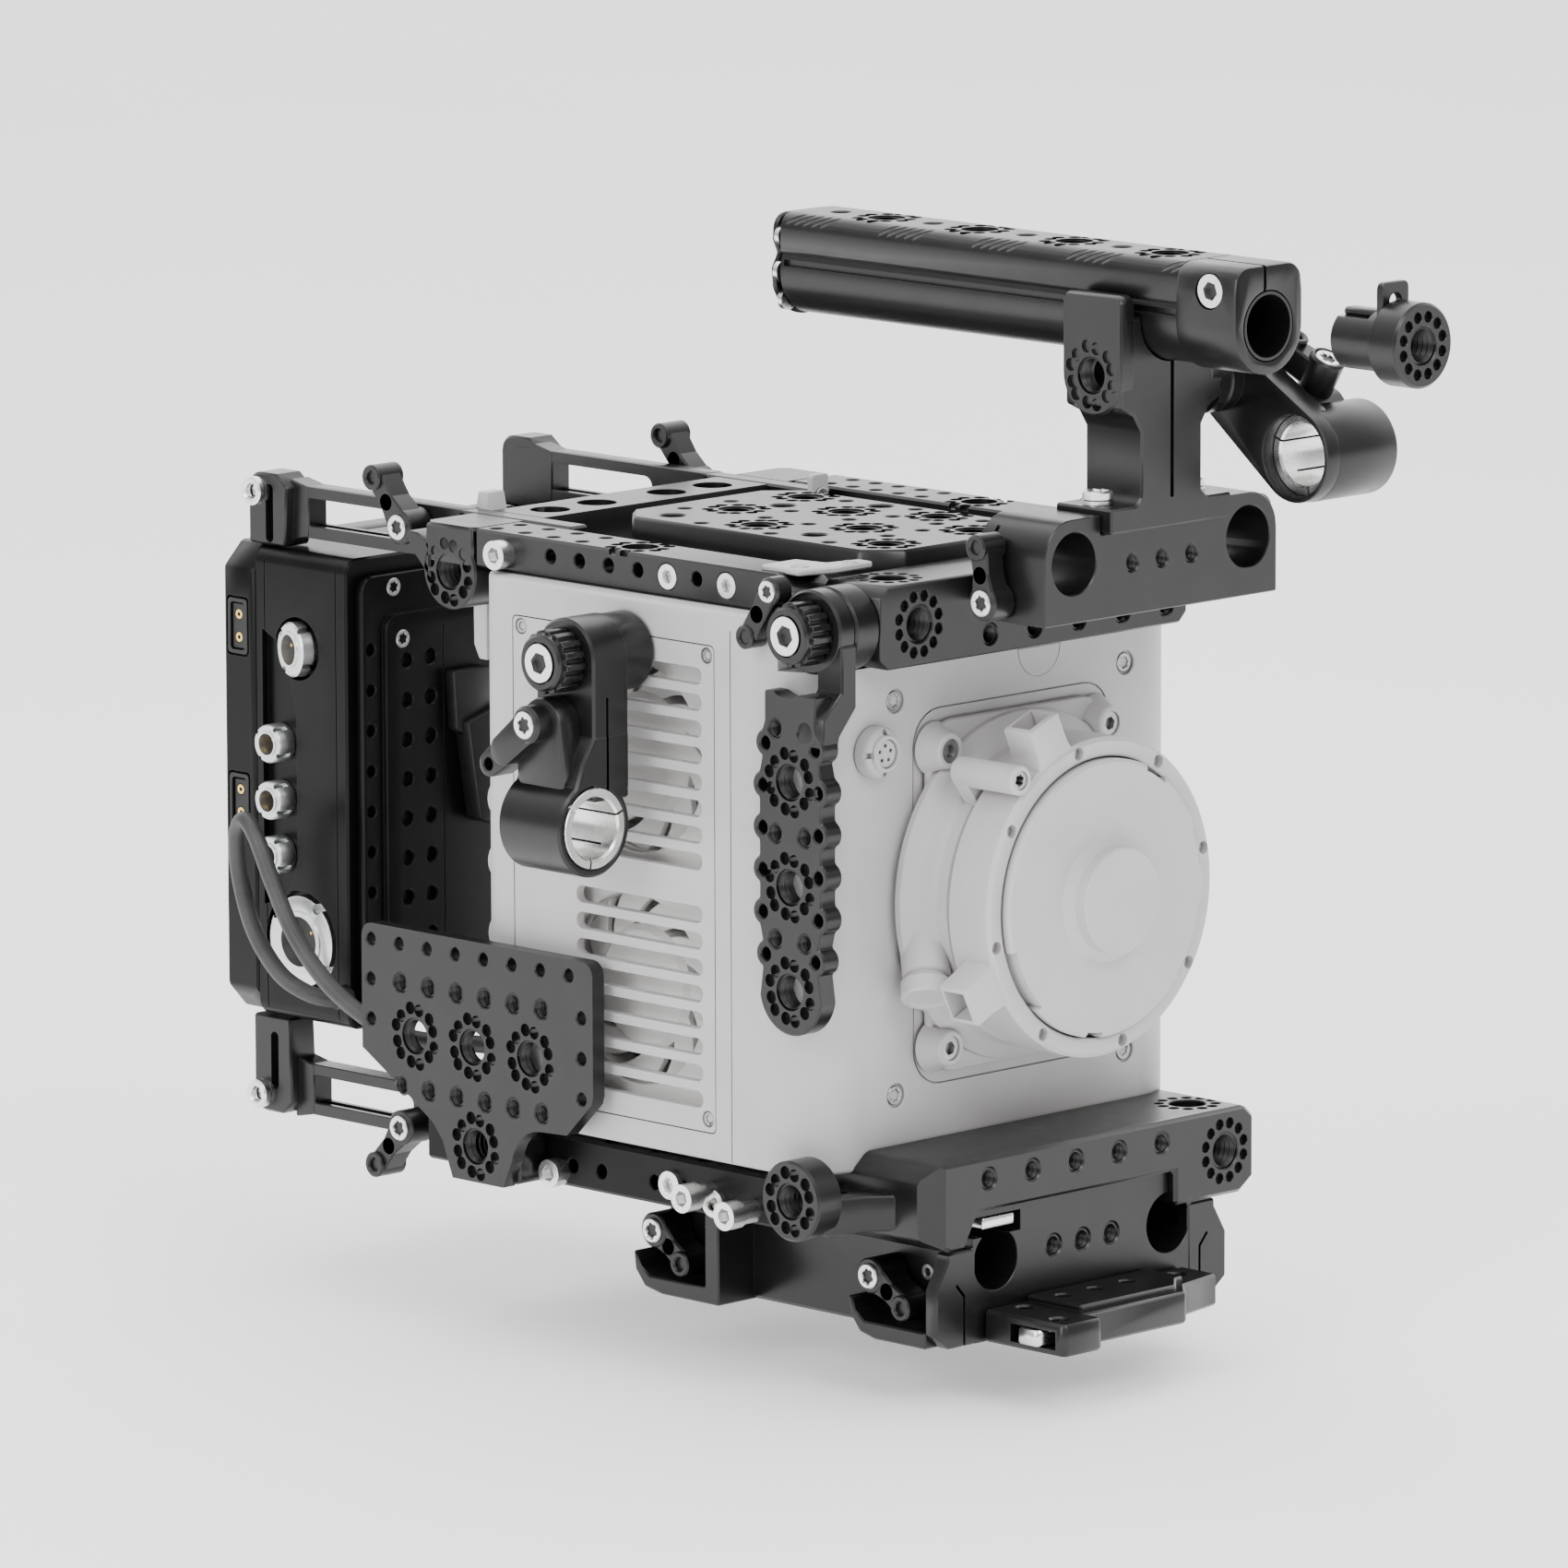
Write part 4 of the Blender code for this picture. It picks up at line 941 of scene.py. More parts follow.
def cam_lever(node, body, axis, root, tip, screw_face, screw_way, root_r=4.4, tip_r=3.2, screw_r=3.1):
    """A cam lever: a waisted arm with a round hub, a drilled finger barrel and a silver pivot screw."""
    low, high = span(node)
    depth = PLANES[axis][2]
    lo, hi = low[depth], high[depth]
    wide = hi - lo
    mid = ((root[0] + tip[0]) / 2, (root[1] + tip[1]) / 2)
    web = prism(axis, lo + wide * 0.12, hi - wide * 0.12, hull((*root, root_r - 0.4), (*mid, 2.6)), (), 0.5)
    web2 = prism(axis, lo + wide * 0.12, hi - wide * 0.12, hull((*mid, 2.6), (*tip, tip_r - 0.2)), (), 0.5)
    inner = sorted((screw_face - 0.9 * screw_way, lo + hi - screw_face))
    hub = prism(axis, inner[0], inner[1], circle(*root, root_r, 32), (), 0.4)
    barrel = prism(axis, lo, hi, circle(*tip, tip_r, 28), [circle(*tip, 1.6, 16)], 0.4)
    piece(node + "_cam", "anodised", body, [hub, web, web2, barrel], [node])
    piece(node + "_screw", "bolt", body,
          cap_screw(axis, root, screw_face - 0.95 * screw_way, 0.95 * screw_way, screw_r, "lobe", 0.35))


def top_cage():
    """Every piece of the cage's upper half."""
    top_front_bar()
    top_rail(-1)
    top_rail(1)
    top_centre_plate()
    top_rear_bar()
    top_tags()
    rod_bracket()
    cam_lever("rod_lever_right", "rod_lever_right", "X", (-12, 77.4), (-10.3, 90.5), -48, -1)
    cam_lever("rod_lever_left", "rod_lever_left", "X", (-12, 77.4), (-13.7, 90.5), 48, 1)


# ---- handle ------------------------------------------------------------------------------
HANDLE_Z = (span("handle_tube")[0][2] + span("handle_tube")[1][2]) / 2
GRIP_PITCH = 31.4


def handle_post():
    """The post: foot, column with its slit, two round ears with rosettes and the split ring."""
    low, high = span("handle_post")
    y0, y1 = low[1], high[1]
    post = prism("Y", y0 + 0.5, y1 - 0.5, [(-20.7, 92.6), (20.7, 92.6), (20.7, 98.5), (12.4, 98.5),
                                           (10.4, 100.5), (10.4, 116), (13, 120), (17.3, 122),
                                           (17.3, 143.6), (-17.3, 143.6), (-17.3, 122), (-13, 120),
                                           (-10.4, 116), (-10.4, 100.5), (-12.4, 98.5), (-20.7, 98.5)],
                 (), 0.5)
    cut(post, turned_faces("Y", (0, HANDLE_Z), [(0, -40), (11.3, -40), (11.3, 0), (0, 0)], 48))
    cut(post, slot_tool("Y", -40, 0, rect(-0.6, 99.5, 0.6, 136)))
    mid = (y0 + y1) / 2
    ears, threads = [], []
    for s in (-1, 1):
        outline = arc(mid, 129.5, 9.75, 180, 360, 20) + [(y1, 147.5), (y1 - 1.5, 149), (y0 + 1.5, 149),
                                                         (y0, 147.5)]
        x0, x1 = sorted((s * 13.2, s * 18))
        ear = prism("X", x0, x1, outline, (), 0.6)
        face = s * 18
        cut(ear, *rosette_tools("X", (mid, 129.5), face, -s * 7))
        ears.append(ear)
        threads.append(thread_from("X", (mid, 129.5), face, -s * 5))
    cut(post, bore("X", (mid, 129.5), 5.0, -18.5, 8, 0.1))
    cut(post, bore("X", (mid, 129.5), 5.0, 18.5, -8, 0.1))
    piece("post", "anodised", RIG, [post] + ears + threads, ["handle_post"])
    heads = []
    for s in (-1, 1):
        heads += cap_screw("Z", (s * 15.8, mid), 98.6, 3.2, 3.7, "lobe", 0.5)
    piece("post_screws", "bolt", RIG, heads)


def handle_grip():
    """The grip bar with rosettes on top, grooved shoulders and a split front clamp."""
    low, high = span("handle_grip")
    y0, y1, top = low[1], high[1], high[2]
    section = [(-10.8, 148.4), (-9.0, 146.8), (9.0, 146.8), (10.8, 148.4), (10.8, 152.5)]
    section += arc(6.8, top - 4.0, 4.0, 0, 90, 6) + arc(-6.8, top - 4.0, 4.0, 90, 180, 6) + [(-10.8, 152.5)]
    bar = prism("Y", -41.2, y1, section, (), 0.4)
    roses = [(0, 66 - GRIP_PITCH * i) for i in range(4)]
    plain = [(0, 66 + GRIP_PITCH / 2 - GRIP_PITCH * i) for i in range(4)]
    tools = [t for c in roses for t in rosette_tools("Z", c, top, -8, reach=1.4)]
    cut(bar, *tools, *[bore("Z", c, 2.4, top, -7, 0.4) for c in plain])
    grooves = []
    for s in (-1, 1):
        for centre in [66 + GRIP_PITCH * (0.5 - i) for i in range(5)]:
            for k in range(5):
                if centre + (k - 2) * 2.9 > y1 - 3 or centre + (k - 2) * 2.9 < -42:
                    continue
                grooves.append(groove_tool(s, centre + (k - 2) * 2.9, top))
    cut(bar, *grooves)
    ring_outline = arc(0, HANDLE_Z, 11.6, 180, 360, 28) + [(11.6, 151)]
    ring_outline += arc(6.8, top - 4.6, 4.6, 20, 90, 6)
    ring_outline += arc(-6.8, top - 4.6, 4.6, 90, 160, 6) + [(-11.6, 151)]
    clamp = prism("Y", y0, -40.8, ring_outline, [circle(0, HANDLE_Z, 8.4, 48)], 0.8, 2)
    cut(clamp, slot_tool("Y", y0 - 1, -30, rect(-1.9, 148, -0.9, 160)))
    cut(clamp, bore("X", (-51.5, 151.8), 4.4, -13, 3.2, 0.2))
    threads = [thread_from("Z", c, top, -7) for c in roses]
    piece("grip", "anodised", "handle", [bar, clamp] + threads, ["handle_grip"])
    piece("grip_screw", "bolt", "handle", cap_screw("X", (-51.5, 151.8), -9.6, -1.5, 4.0, "hex", 0.4))


def groove_tool(side, y, top):
    """A slanted finger groove across the grip's shoulder."""
    verts, faces = [], []
    steps = 7
    for i in range(steps):
        t = i / (steps - 1)
        turn = math.radians(12 + 66 * t)
        centre = Vector((side * (6.8 + 4.5 * math.cos(turn)), y + 2.6 * (0.5 - t) * 2,
                         top - 4.0 + 4.5 * math.sin(turn)))
        size = 1.05 * math.sin(math.pi * (0.12 + 0.76 * t))
        for k in range(8):
            a = 2 * math.pi * k / 8
            out = Vector((side * math.cos(turn), 0, math.sin(turn)))
            over = Vector((0, size * 1.2 * math.sin(a), 0))
            verts.append(tuple(centre + out * size * 1.1 * math.cos(a) + over))
    for i in range(steps - 1):
        for k in range(8):
            m = (k + 1) % 8
            faces.append((i * 8 + k, i * 8 + m, i * 8 + 8 + m, i * 8 + 8 + k))
    faces.append(tuple(range(8)))
    faces.append(tuple(range((steps - 1) * 8, steps * 8)))
    return verts, faces


def handle_tube():
    """The tube under the grip, with its fluted sides."""
    low, high = span("handle_tube")
    tube = turned("Y", (0, HANDLE_Z), [(7.5, low[1]), (8.2, low[1]), (8.2, -41), (10.8, -41),
                                       (10.8, high[1]), (7.5, high[1])], 64)
    flutes = [slot_tool("Y", -40, high[1] - 1, rect(s * 10.4 - 0.9, 144.8, s * 10.4 + 0.9, 146.4))
              for s in (-1, 1)]
    cut(tube, *flutes)
    piece("tube", "anodised", "handle", [tube], ["handle_tube"])


def handle_end_cap():
    """The rear cap: a rim that follows the grip and tube, ribs, and bright shims behind it."""
    low, high = span("handle_end_cap")
    outline = arc(0, HANDLE_Z, 11.3, 200, 340, 24) + [(11.0, 144), (9.0, 147.5), (10.6, 151)]
    outline += arc(6.4, 153.4, 4.0, 0, 90, 5) + arc(-6.4, 153.4, 4.0, 90, 180, 5)
    outline += [(-10.6, 151), (-9.0, 147.5), (-11.0, 144)]
    plate = prism("Y", low[1] + 1.2, low[1] + 2.6, outline, (), 0.4)
    ribs = [prism("Y", low[1] + 2.4, high[1], star(0, z, 3.4, r, 6, 0.5), (), 0.4)
            for z, r in ((HANDLE_Z, 8.6), (152, 4.8))]
    piece("end_cap", "anodised", "handle", [plate] + ribs, ["handle_end_cap"])
    shim = [(0, low[1] - 0.1), (2.6, low[1] - 0.1), (2.6, low[1] + 1.3), (0, low[1] + 1.3)]
    seats = [(side * x, z) for x, z in ((8.4, 151.8), (9.0, 143.2), (7.4, 136.2)) for side in (-1, 1)]
    shims = [turned("Y", c, shim, 28) for c in seats]
    piece("end_cap_shims", "silver", "handle", shims)


def rosette_plug():
    """The rosette plug with its flats, register ring and key tab."""
    low, high = span("rosette_plug")
    c = (0, HANDLE_Z)
    head = prism("Y", low[1], -100.5, circle(*c, 10.1, 64), (), 0.6)
    cut(head, *rosette_tools("Y", c, low[1], 14, paired=False))
    shaft = prism("Y", -100.5, high[1], circle(*c, 7.3, 40), [circle(*c, 4.2, 28)], 0.5)
    cut(shaft, slot_tool("Y", -96, -80, rect(-9, HANDLE_Z + 5.4, 9, HANDLE_Z + 9)))
    key = prism("Y", -96, high[1], rounded(-2.2, HANDLE_Z + 5.2, 2.2, HANDLE_Z + 7.3, 0.8, 2), (), 0.3)
    tab = prism("Y", -100.4, -98.4, rounded(-4.6, 143, 4.6, high[2], 1.5, 4), [circle(0, 153, 1.9, 24)],
                0.25)
    cut(tab, turned_faces("Y", c, [(0, -110), (4.2, -110), (4.2, -90), (0, -90)], 28))
    piece("plug", "anodised", "rosette_plug", [head, shaft, key, tab, thread_from("Y", c, low[1], 20)],
          ["rosette_plug"])


def handle():
    """Every piece of the handle."""
    for make in (handle_post, handle_grip, handle_tube, handle_end_cap, rosette_plug):
        make()


# ---- arms --------------------------------------------------------------------------------
def bushing(node, body, axis):
    """A silver bushing split by one full slit and five blind ones."""
    low, high = span(node)
    ia, ib, depth = PLANES[axis]
    c = ((low[ia] + high[ia]) / 2, (low[ib] + high[ib]) / 2)
    lo, hi = low[depth] - 0.4, high[depth] + 0.4
    profile = [(7.5, lo + 0.5), (8.0, lo), (9.7, lo), (9.9, lo + 0.3), (9.9, lo + 0.7), (9.3, lo + 0.9),
               (9.3, hi - 0.9), (9.9, hi - 0.7), (9.9, hi - 0.3), (9.7, hi), (8.0, hi), (7.5, hi - 0.5)]
    sleeve = turned(axis, c, profile, 96)
    tools = []
    for k in range(6):
        turn = math.radians(60 * k + 20)
        along, over = (math.cos(turn), math.sin(turn)), (-math.sin(turn), math.cos(turn))
        corners = [(6.5, -0.28), (11, -0.28), (11, 0.28), (6.5, 0.28)]
        outline = [(c[0] + p * along[0] + q * over[0], c[1] + p * along[1] + q * over[1])
                   for p, q in corners]
        ends = ((lo - 1, hi + 1) if k == 0 else (lo + 4.0, hi + 1) if k % 2 else (lo - 1, hi - 4.0))
        tools.append(slot_tool(axis, ends[0], ends[1], outline))
    cut(sleeve, *tools)
    piece(node + "_sleeve", "silver", body, [sleeve], [node])


def evf_arm():
    """The viewfinder arm: hub collar, tapering web and a long rod clamp with its slit."""
    root, clamp = (-19.5, 125.0), (-44.0, 108.0)
    web = prism("X", 26.0, 33.5, hull((*root, 9.3), (*clamp, 11.3)), [circle(*clamp, 9.9, 40)], 0.7, 2)
    barrel = prism("X", 30.0, span("evf_arm")[1][0], circle(*clamp, 11.5, 64), [circle(*clamp, 9.9, 48)],
                   0.7, 2)
    boss = prism("X", 33.5, 46.5, hull((-37.5, 117.0, 5.0), (-41.5, 112.5, 5.0)), (), 0.5)
    cut(boss, turned_faces("X", clamp, [(0, 20), (10.2, 20), (10.2, 60), (0, 60)], 40))
    collar = turned("X", root, [(0, 18.3), (8.5, 18.3), (8.5, 21.2), (7.9, 21.6), (7.9, 22.2), (8.5, 22.6),
                                (8.5, 27), (0, 27)], 48)
    piece("finder_arm", "anodised", "evf_arm", [web, barrel, boss, collar], ["evf_arm"])
    bushing("evf_bushing", "evf_arm", "X")


def evf_lever():
    """The viewfinder arm's cam lever, leaning forward."""
    lean = Matrix.Rotation(math.radians(30.0), 4, "X")
    root = Vector((40.0, -40.3, 126.6))
    shapes = [turned("Z", (0, 0), [(0, -5.0), (4.3, -5.0), (4.4, -4.6), (4.4, 3.6), (3.9, 4.2), (3.5, 4.2),
                                   (3.5, 3.4), (0, 3.4)], 36),
              prism("Z", -4.4, 2.6, hull((0, 0, 3.6), (-2.4, 9.3, 2.6)), (), 0.5),
              prism("Z", -5.0, 4.4, circle(-2.4, 9.3, 3.1, 28), [circle(-2.4, 9.3, 1.5, 16)], 0.4)]
    screws = cap_screw("Z", (0, 0), 3.2, 0.85, 3.2, "lobe", 0.25)
    turn_about(shapes + screws, root, lean)
    piece("evf_lever_cam", "anodised", "evf_lever", shapes, ["evf_lever"])
    piece("evf_lever_screw", "bolt", "evf_lever", screws)


def turn_about(shapes, root, rotation):
    """Turns shapes modelled round the drawing's origin and moves them to a root point."""
    home = Matrix.Translation(place((0, 0, 0)))
    shift = Matrix.Translation(root * MM)
    for item in shapes:
        item.data.transform(home @ shift @ rotation @ home.inverted())


SWING_Y, SWING_Z = 26.0, 68.5
SWING_MID = 26.6
SWING_ROSES = (33.1, 7.8, -17.5)
SWING_PAIRS = (45.6, 20.3, -5.2)


def swing_outline():
    """The hanging plate's scalloped outline."""
    lobes = [41.7, 31.5, 21.3, 11.1, 0.9, -9.3]
    right = [(SWING_MID - 8.6, 54.5), (SWING_MID - 8.6, 47.2)]
    for i, z in enumerate(lobes):
        reach = 8.3 if i in (0, 5) else 9.3
        right += arc(SWING_MID - reach, z, 3.3, 110, 250, 8)
    right += arc(SWING_MID, SWING_ROSES[2], 10.6, 190, 270, 12)
    left = [(2 * SWING_MID - a, b) for a, b in right[::-1]]
    return right + left[1:]


def swing_arm():
    """The front swing arm: ring round its hub, dog-leg and rosette plate."""
    low, high = span("swing_plate")
    face, back = low[0], -67.7
    plate = prism("X", face, back, swing_outline(), (), 0.45)
    small_lobes = [(SWING_MID + s * (8.3 if i in (0, 5) else 9.3), z) for s in (-1, 1)
                   for i, z in enumerate((41.7, 31.5, 21.3, 11.1, 0.9, -9.3))]
    tools = [t for z in SWING_ROSES for t in rosette_tools("X", (SWING_MID, z), face, back - face, True)]
    cut(plate, *tools, *[bore("X", (SWING_MID + s * 4.9, z), 2.3, face, back - face, 0.4, True)
                         for s in (-1, 1) for z in SWING_PAIRS])
    cut(plate, *[bore("X", c, 1.6, face, 3.6, 0.4, count=18) for c in small_lobes])
    cut(plate, turned_faces("X", (SWING_Y + 1.5, 61.5), [(0, -80), (8.4, -80), (8.4, -60), (0, -60)], 40))
    legs = [(-66.4, 66), (-61.4, 66), (-61.4, 51), (-67.0, 44.5), (-67.6, 42), (-72.8, 42), (-72.8, 49),
            (-66.4, 55)]
    leg = prism("Y", 15.4, 24.0, legs, (), 0.5)
    neck = prism("X", -66.5, -61.3, circle(SWING_Y, SWING_Z, 10.2, 48), (), 0.6)
    threads = [thread_from("X", (SWING_MID, z), face, back - face) for z in SWING_ROSES]
    threads += [thread_from("X", (SWING_MID + s * 4.9, z), face, back - face, 2.3, 1.0, 0.4)
                for s in (-1, 1) for z in SWING_PAIRS]
    piece("swing_rosette_plate", "anodised", "swing_arm", [plate, leg, neck] + threads, ["swing_plate"])
    low, high = span("swing_hub")
    hub = turned("X", (SWING_Y, SWING_Z), [(0, low[0]), (9.6, low[0]), (10.3, low[0] + 0.6),
                                           (10.3, high[0] - 0.5), (9.8, high[0]), (0, high[0])], 64)
    piece("swing_hub_barrel", "anodised", RIG, [hub], ["swing_hub"])


def knob(node, body, teeth=16):
    """A knurled clamp knob round a bright hex bolt."""
    low, high = span(node)
    c = ((low[1] + high[1]) / 2, (low[2] + high[2]) / 2)
    grip = []
    for k in range(teeth):
        for turn, r in ((0.0, 7.8), (0.50, 7.8), (0.62, 6.9), (0.88, 6.9)):
            a = 2 * math.pi * (k + turn) / teeth
            grip.append((c[0] + r * math.cos(a), c[1] + r * math.sin(a)))
    knurl = prism("X", low[0] + 2.2, high[0], grip, (), 0.2)
    collar = turned("X", c, [(0, low[0] + 1.4), (5.2, low[0] + 1.4), (5.2, low[0] + 0.4),
                             (6.3, low[0] + 0.4), (6.9, low[0] + 1.0), (6.9, low[0] + 2.6),
                             (0, low[0] + 2.6)], 48)
    piece(node + "_grip", "anodised", body, [knurl, collar], [node])
    piece(node + "_bolt", "bolt", body, cap_screw("X", c, low[0] + 1.5, -1.5, 4.7, "hex", 0.5))


def side_arm():
    """The side arm: hub, slab with its slit, and the rod clamp at its foot."""
    hub_y, hub_z = 87.0, 57.7
    clamp = (-88.8, 17.8)
    slab = prism("X", -88.7, -76.9, arc(hub_y, hub_z, 10, 0, 180, 24) + [(77, 24), (97, 24)], (), 0.6)
    legs = arc(clamp[0], clamp[1], 11.9, 120, 395, 48) + [(-76.9, 26.5), (-76.9, 40), (-88.7, 40),
                                                          (-92.5, 34)]
    foot = prism("Y", 76.9, 98.0, legs, [circle(*clamp, 9.9, 48)], 0.6)
    cut(foot, slot_tool("Y", 70, 100, [(-84.6, 26.5), (-83.8, 26.5), (-83.8, 50), (-84.6, 50)]))
    cut(slab, slot_tool("Y", 70, 79.5, rect(-84.6, 20, -83.8, 49)))
    pad = prism("X", -95.5, -88.5, hull((88.4, 42.0, 7.0), (88.4, 31.0, 8.6)), (), 1.2, 2)
    hub = turned("X", (hub_y, hub_z), [(0, -77.2), (9.6, -77.2), (9.6, -68.6), (9.0, -67.8), (0, -67.8)],
                 56)
    piece("side_arm_body", "anodised", "side_arm", [slab, foot, pad, hub], ["side_arm"])
    washer = turned("X", (hub_y, hub_z), [(0, -69.0), (5.2, -69.0), (5.2, -67.6), (0, -67.6)], 32)
    piece("side_arm_washer", "silver", "side_arm", [washer])
    bushing("side_arm_bushing", "side_arm", "Y")


def side_arm_lever():
    """The side arm's tapered cam lever."""
    root, tip = (88.8, 42.9), (103.6, 31.5)
    low, high = span("side_arm_lever")
    hub = prism("X", low[0] + 0.8, high[0], circle(*root, 4.6, 36), (), 0.6)
    arm = prism("X", low[0] + 1.5, high[0] - 1, hull((*root, 4.3), (98, 35.6, 3.9)), (), 0.8, 2)
    horn = prism("X", low[0] + 2.5, high[0] - 2, hull((97, 36.4, 3.9), (*tip, 3.2)), (), 0.7, 2)
    cut(horn, bore("X", tip, 1.6, low[0] + 2.5, 7.5, 0.3, True, 18))
    piece("side_arm_lever_cam", "anodised", "side_arm_lever", [hub, arm, horn], ["side_arm_lever"])
    piece("side_arm_lever_screw", "bolt", "side_arm_lever",
          cap_screw("X", root, low[0] + 0.85, -0.8, 3.3, "lobe", 0.25))


def arms():
    """The three accessory arms."""
    evf_arm()
    evf_lever()
    swing_arm()
    cam_lever("swing_lever", "swing_lever", "X", (33.4, 78.2), (41.0, 66.5), -74, -1, 3.4, 2.9, 2.6)
    knob("swing_knob", "swing_knob")
    side_arm()
    side_arm_lever()
    knob("side_arm_knob", "side_arm_knob")


# ---- lower half of the cage --------------------------------------------------------------
def side_plate():
    """The cheese plate at the lower rear of the vent side."""
    face, back = span("side_plate")[0][0], -71.0
    outline = arc(170.5, -22.5, 3.5, 90, 0, 4) + [(174, -50.5), (160.5, -58.5)]
    outline += [(155, -62), (148.8, -66), (145.4, -70), (143.5, -75), (142, -78.8), (124, -78.8)]
    outline += [(121, -72)] + arc(110.5, -73.5, 10.5, 5, 90, 6) + [(101.5, -62.6), (92.8, -54), (92.3, -52)]
    outline += arc(95.8, -22.5, 3.5, 180, 90, 4)
    plate = prism("X", face, back, outline, (), 0.5)
    roses = [(155, -45.3), (134.6, -45.3), (114.2, -45.3)]
    tools = [t for c in roses for t in rosette_tools("X", c, face, back - face, True)]
    smalls = [(170.7 - 10 * i, -23) for i in range(8)]
    smalls += [(y, z) for y in (170.9, 96.4) for z in (-33, -43, -53) if not (y > 100 and z < -52)]
    larges = [(160.2 - 10 * i, z) for i in range(6) for z in (-32.6, -58.4)]
    foot_rose, thick = (133.6, -69.8), back - face
    cut(plate, *tools, *rosette_tools("X", foot_rose, face, 6),
        *[bore("X", c, 1.6, face, thick, 0.35, True, 18) for c in smalls],
        *[bore("X", c, 2.5, face, thick, 0.35, True, 20) for c in larges])
    foot = prism("X", -71.2, -62.3, rounded(122, -78.5, 146, -66.5, 1.5, 2), (), 0.5)
    cut(foot, turned_faces("X", foot_rose, [(0, -72), (4.2, -72), (4.2, -60), (0, -60)], 28))
    threads = [thread_from("X", c, face, back - face) for c in roses]
    threads.append(thread_from("X", foot_rose, face, 10))
    threads += [thread_from("X", c, face, back - face, 2.5, 1.27, 0.5) for c in larges]
    piece("side_cheese_plate", "anodised", RIG, [plate, foot] + threads, ["side_plate"])


def lower_rail(side):
    """A lower rail with its side and top holes."""
    node = "lower_right_rail" if side < 0 else "lower_left_rail"
    low, high = span(node)
    outer = low[0] if side < 0 else high[0]
    rail = prism("X", low[0], high[0], rect(low[1], low[2], high[1], high[2]), (), 0.8)
    sides = [(y, -73.6) for y in (64.5, 74.5, 84.5, 103, 113)]
    tops = [(side * 58, y) for y in (70, 86, 102, 118, 134)]
    cut(rail, *[bore("X", c, 1.8, outer, -7 * side, 0.3, count=18) for c in sides],
        *[bore("Z", c, 2.4, high[2], -5, 0.3, count=20) for c in tops])
    # the darker copy of the anodised look is partly painted shade on this low rail
    piece(node + "_bar", "darker_black_and_shade", RIG, [rail], [node])


def bolts_low():
    """The bright socket bolts that hold the lower cage together at the vent side."""
    heads = []
    bolts = ((78.0, -73.2, -62.0, 1.6), (65.0, -73.4, -67.5, 4.6), (63.0, -75.6, -62.0, 1.8),
             (50.4, -75.6, -67.5, 4.6), (117.5, -75.6, -62.0, 4.0))
    for y, z, seat, height in bolts:
        heads += cap_screw("X", (y, z), seat, -height, 3.5, "hex", 0.5)
    for y, z in ((65.0, -73.4), (50.4, -75.6)):
        heads.append(turned("X", (y, z), [(0, -67.6), (2.9, -67.6), (2.9, -61.8), (0, -61.8)], 28))
    piece("cage_bolts_low", "bolt", RIG, heads)


def cage_bottom_plate():
    """The plate under the camera."""
    low, high = span("cage_bottom_plate")
    plate = prism("Z", low[2], high[2], rounded(low[0], low[1], high[0], high[1], 6, 3),
                  [circle(x, y, 4.2) for x in (-20, 20) for y in (60, 100, 135)], 0.5)
    piece("bottom_plate", "darker_black_and_shade", RIG, [plate], ["cage_bottom_plate"])


def lower_front_bar():
    """The lower front plate: chamfered face, threaded row, end rosettes and the corner boss."""
    low, high = span("lower_front_bar")
    front, back = low[1], high[1]
    outline = [(-54.5, -77), (-48, -80.5), (-43, -80.5), (-38, -72), (30, -72), (30, -80.5), (53, -80.5),
               (58, -77), (58, -62), (54.5, -59), (-50, -59), (-54.5, -63)]
    bar = prism("Y", front, back, outline, (), 0.9)
    cut(bar, slot_tool("Z", -90, -50, [(-60, -5), (-47, -5), (-60, 8)]))
    cut(bar, slot_tool("Z", -90, -50, [(62, -5), (54.5, -5), (62, 3)]))
    cut(bar, *rosette_tools("Y", (47.4, -69.4), front, 12, paired=False),
        *[bore("Y", (x, -64.2), 2.6, front, 9, 0.45) for x in (-35, -20, -5, 10, 25)])
    cut(bar, *rosette_tools("Z", (46.0, 9), -59, -5, reach=1.3, paired=False))
    boss_c = (23.8, -67.5)
    boss = prism("X", -76, -67.8, circle(*boss_c, 9.8, 56), (), 0.6)
    cut(boss, *rosette_tools("X", boss_c, -76, 12))
    link = prism("Z", -76.0, -67.0, [(-71, 17), (-60, 14), (-52, 8), (-46, 4), (-46, 20), (-50.4, 27),
                                     (-60, 28.5), (-71, 31)], (), 1.0, 2)
    cut(link, turned_faces("X", boss_c, [(0, -78), (4.4, -78), (4.4, -60), (0, -60)], 28))
    threads = [thread_from("Y", (47.4, -69.4), front, 11), thread_from("X", boss_c, -76, 11)]
    threads += [thread_from("Y", (x, -64.2), front, 8, 2.6, 1.27, 0.5) for x in (-35, -20, -5, 10, 25)]
    piece("front_plate_low", "anodised", RIG, [bar, boss, link] + threads, ["lower_front_bar"])


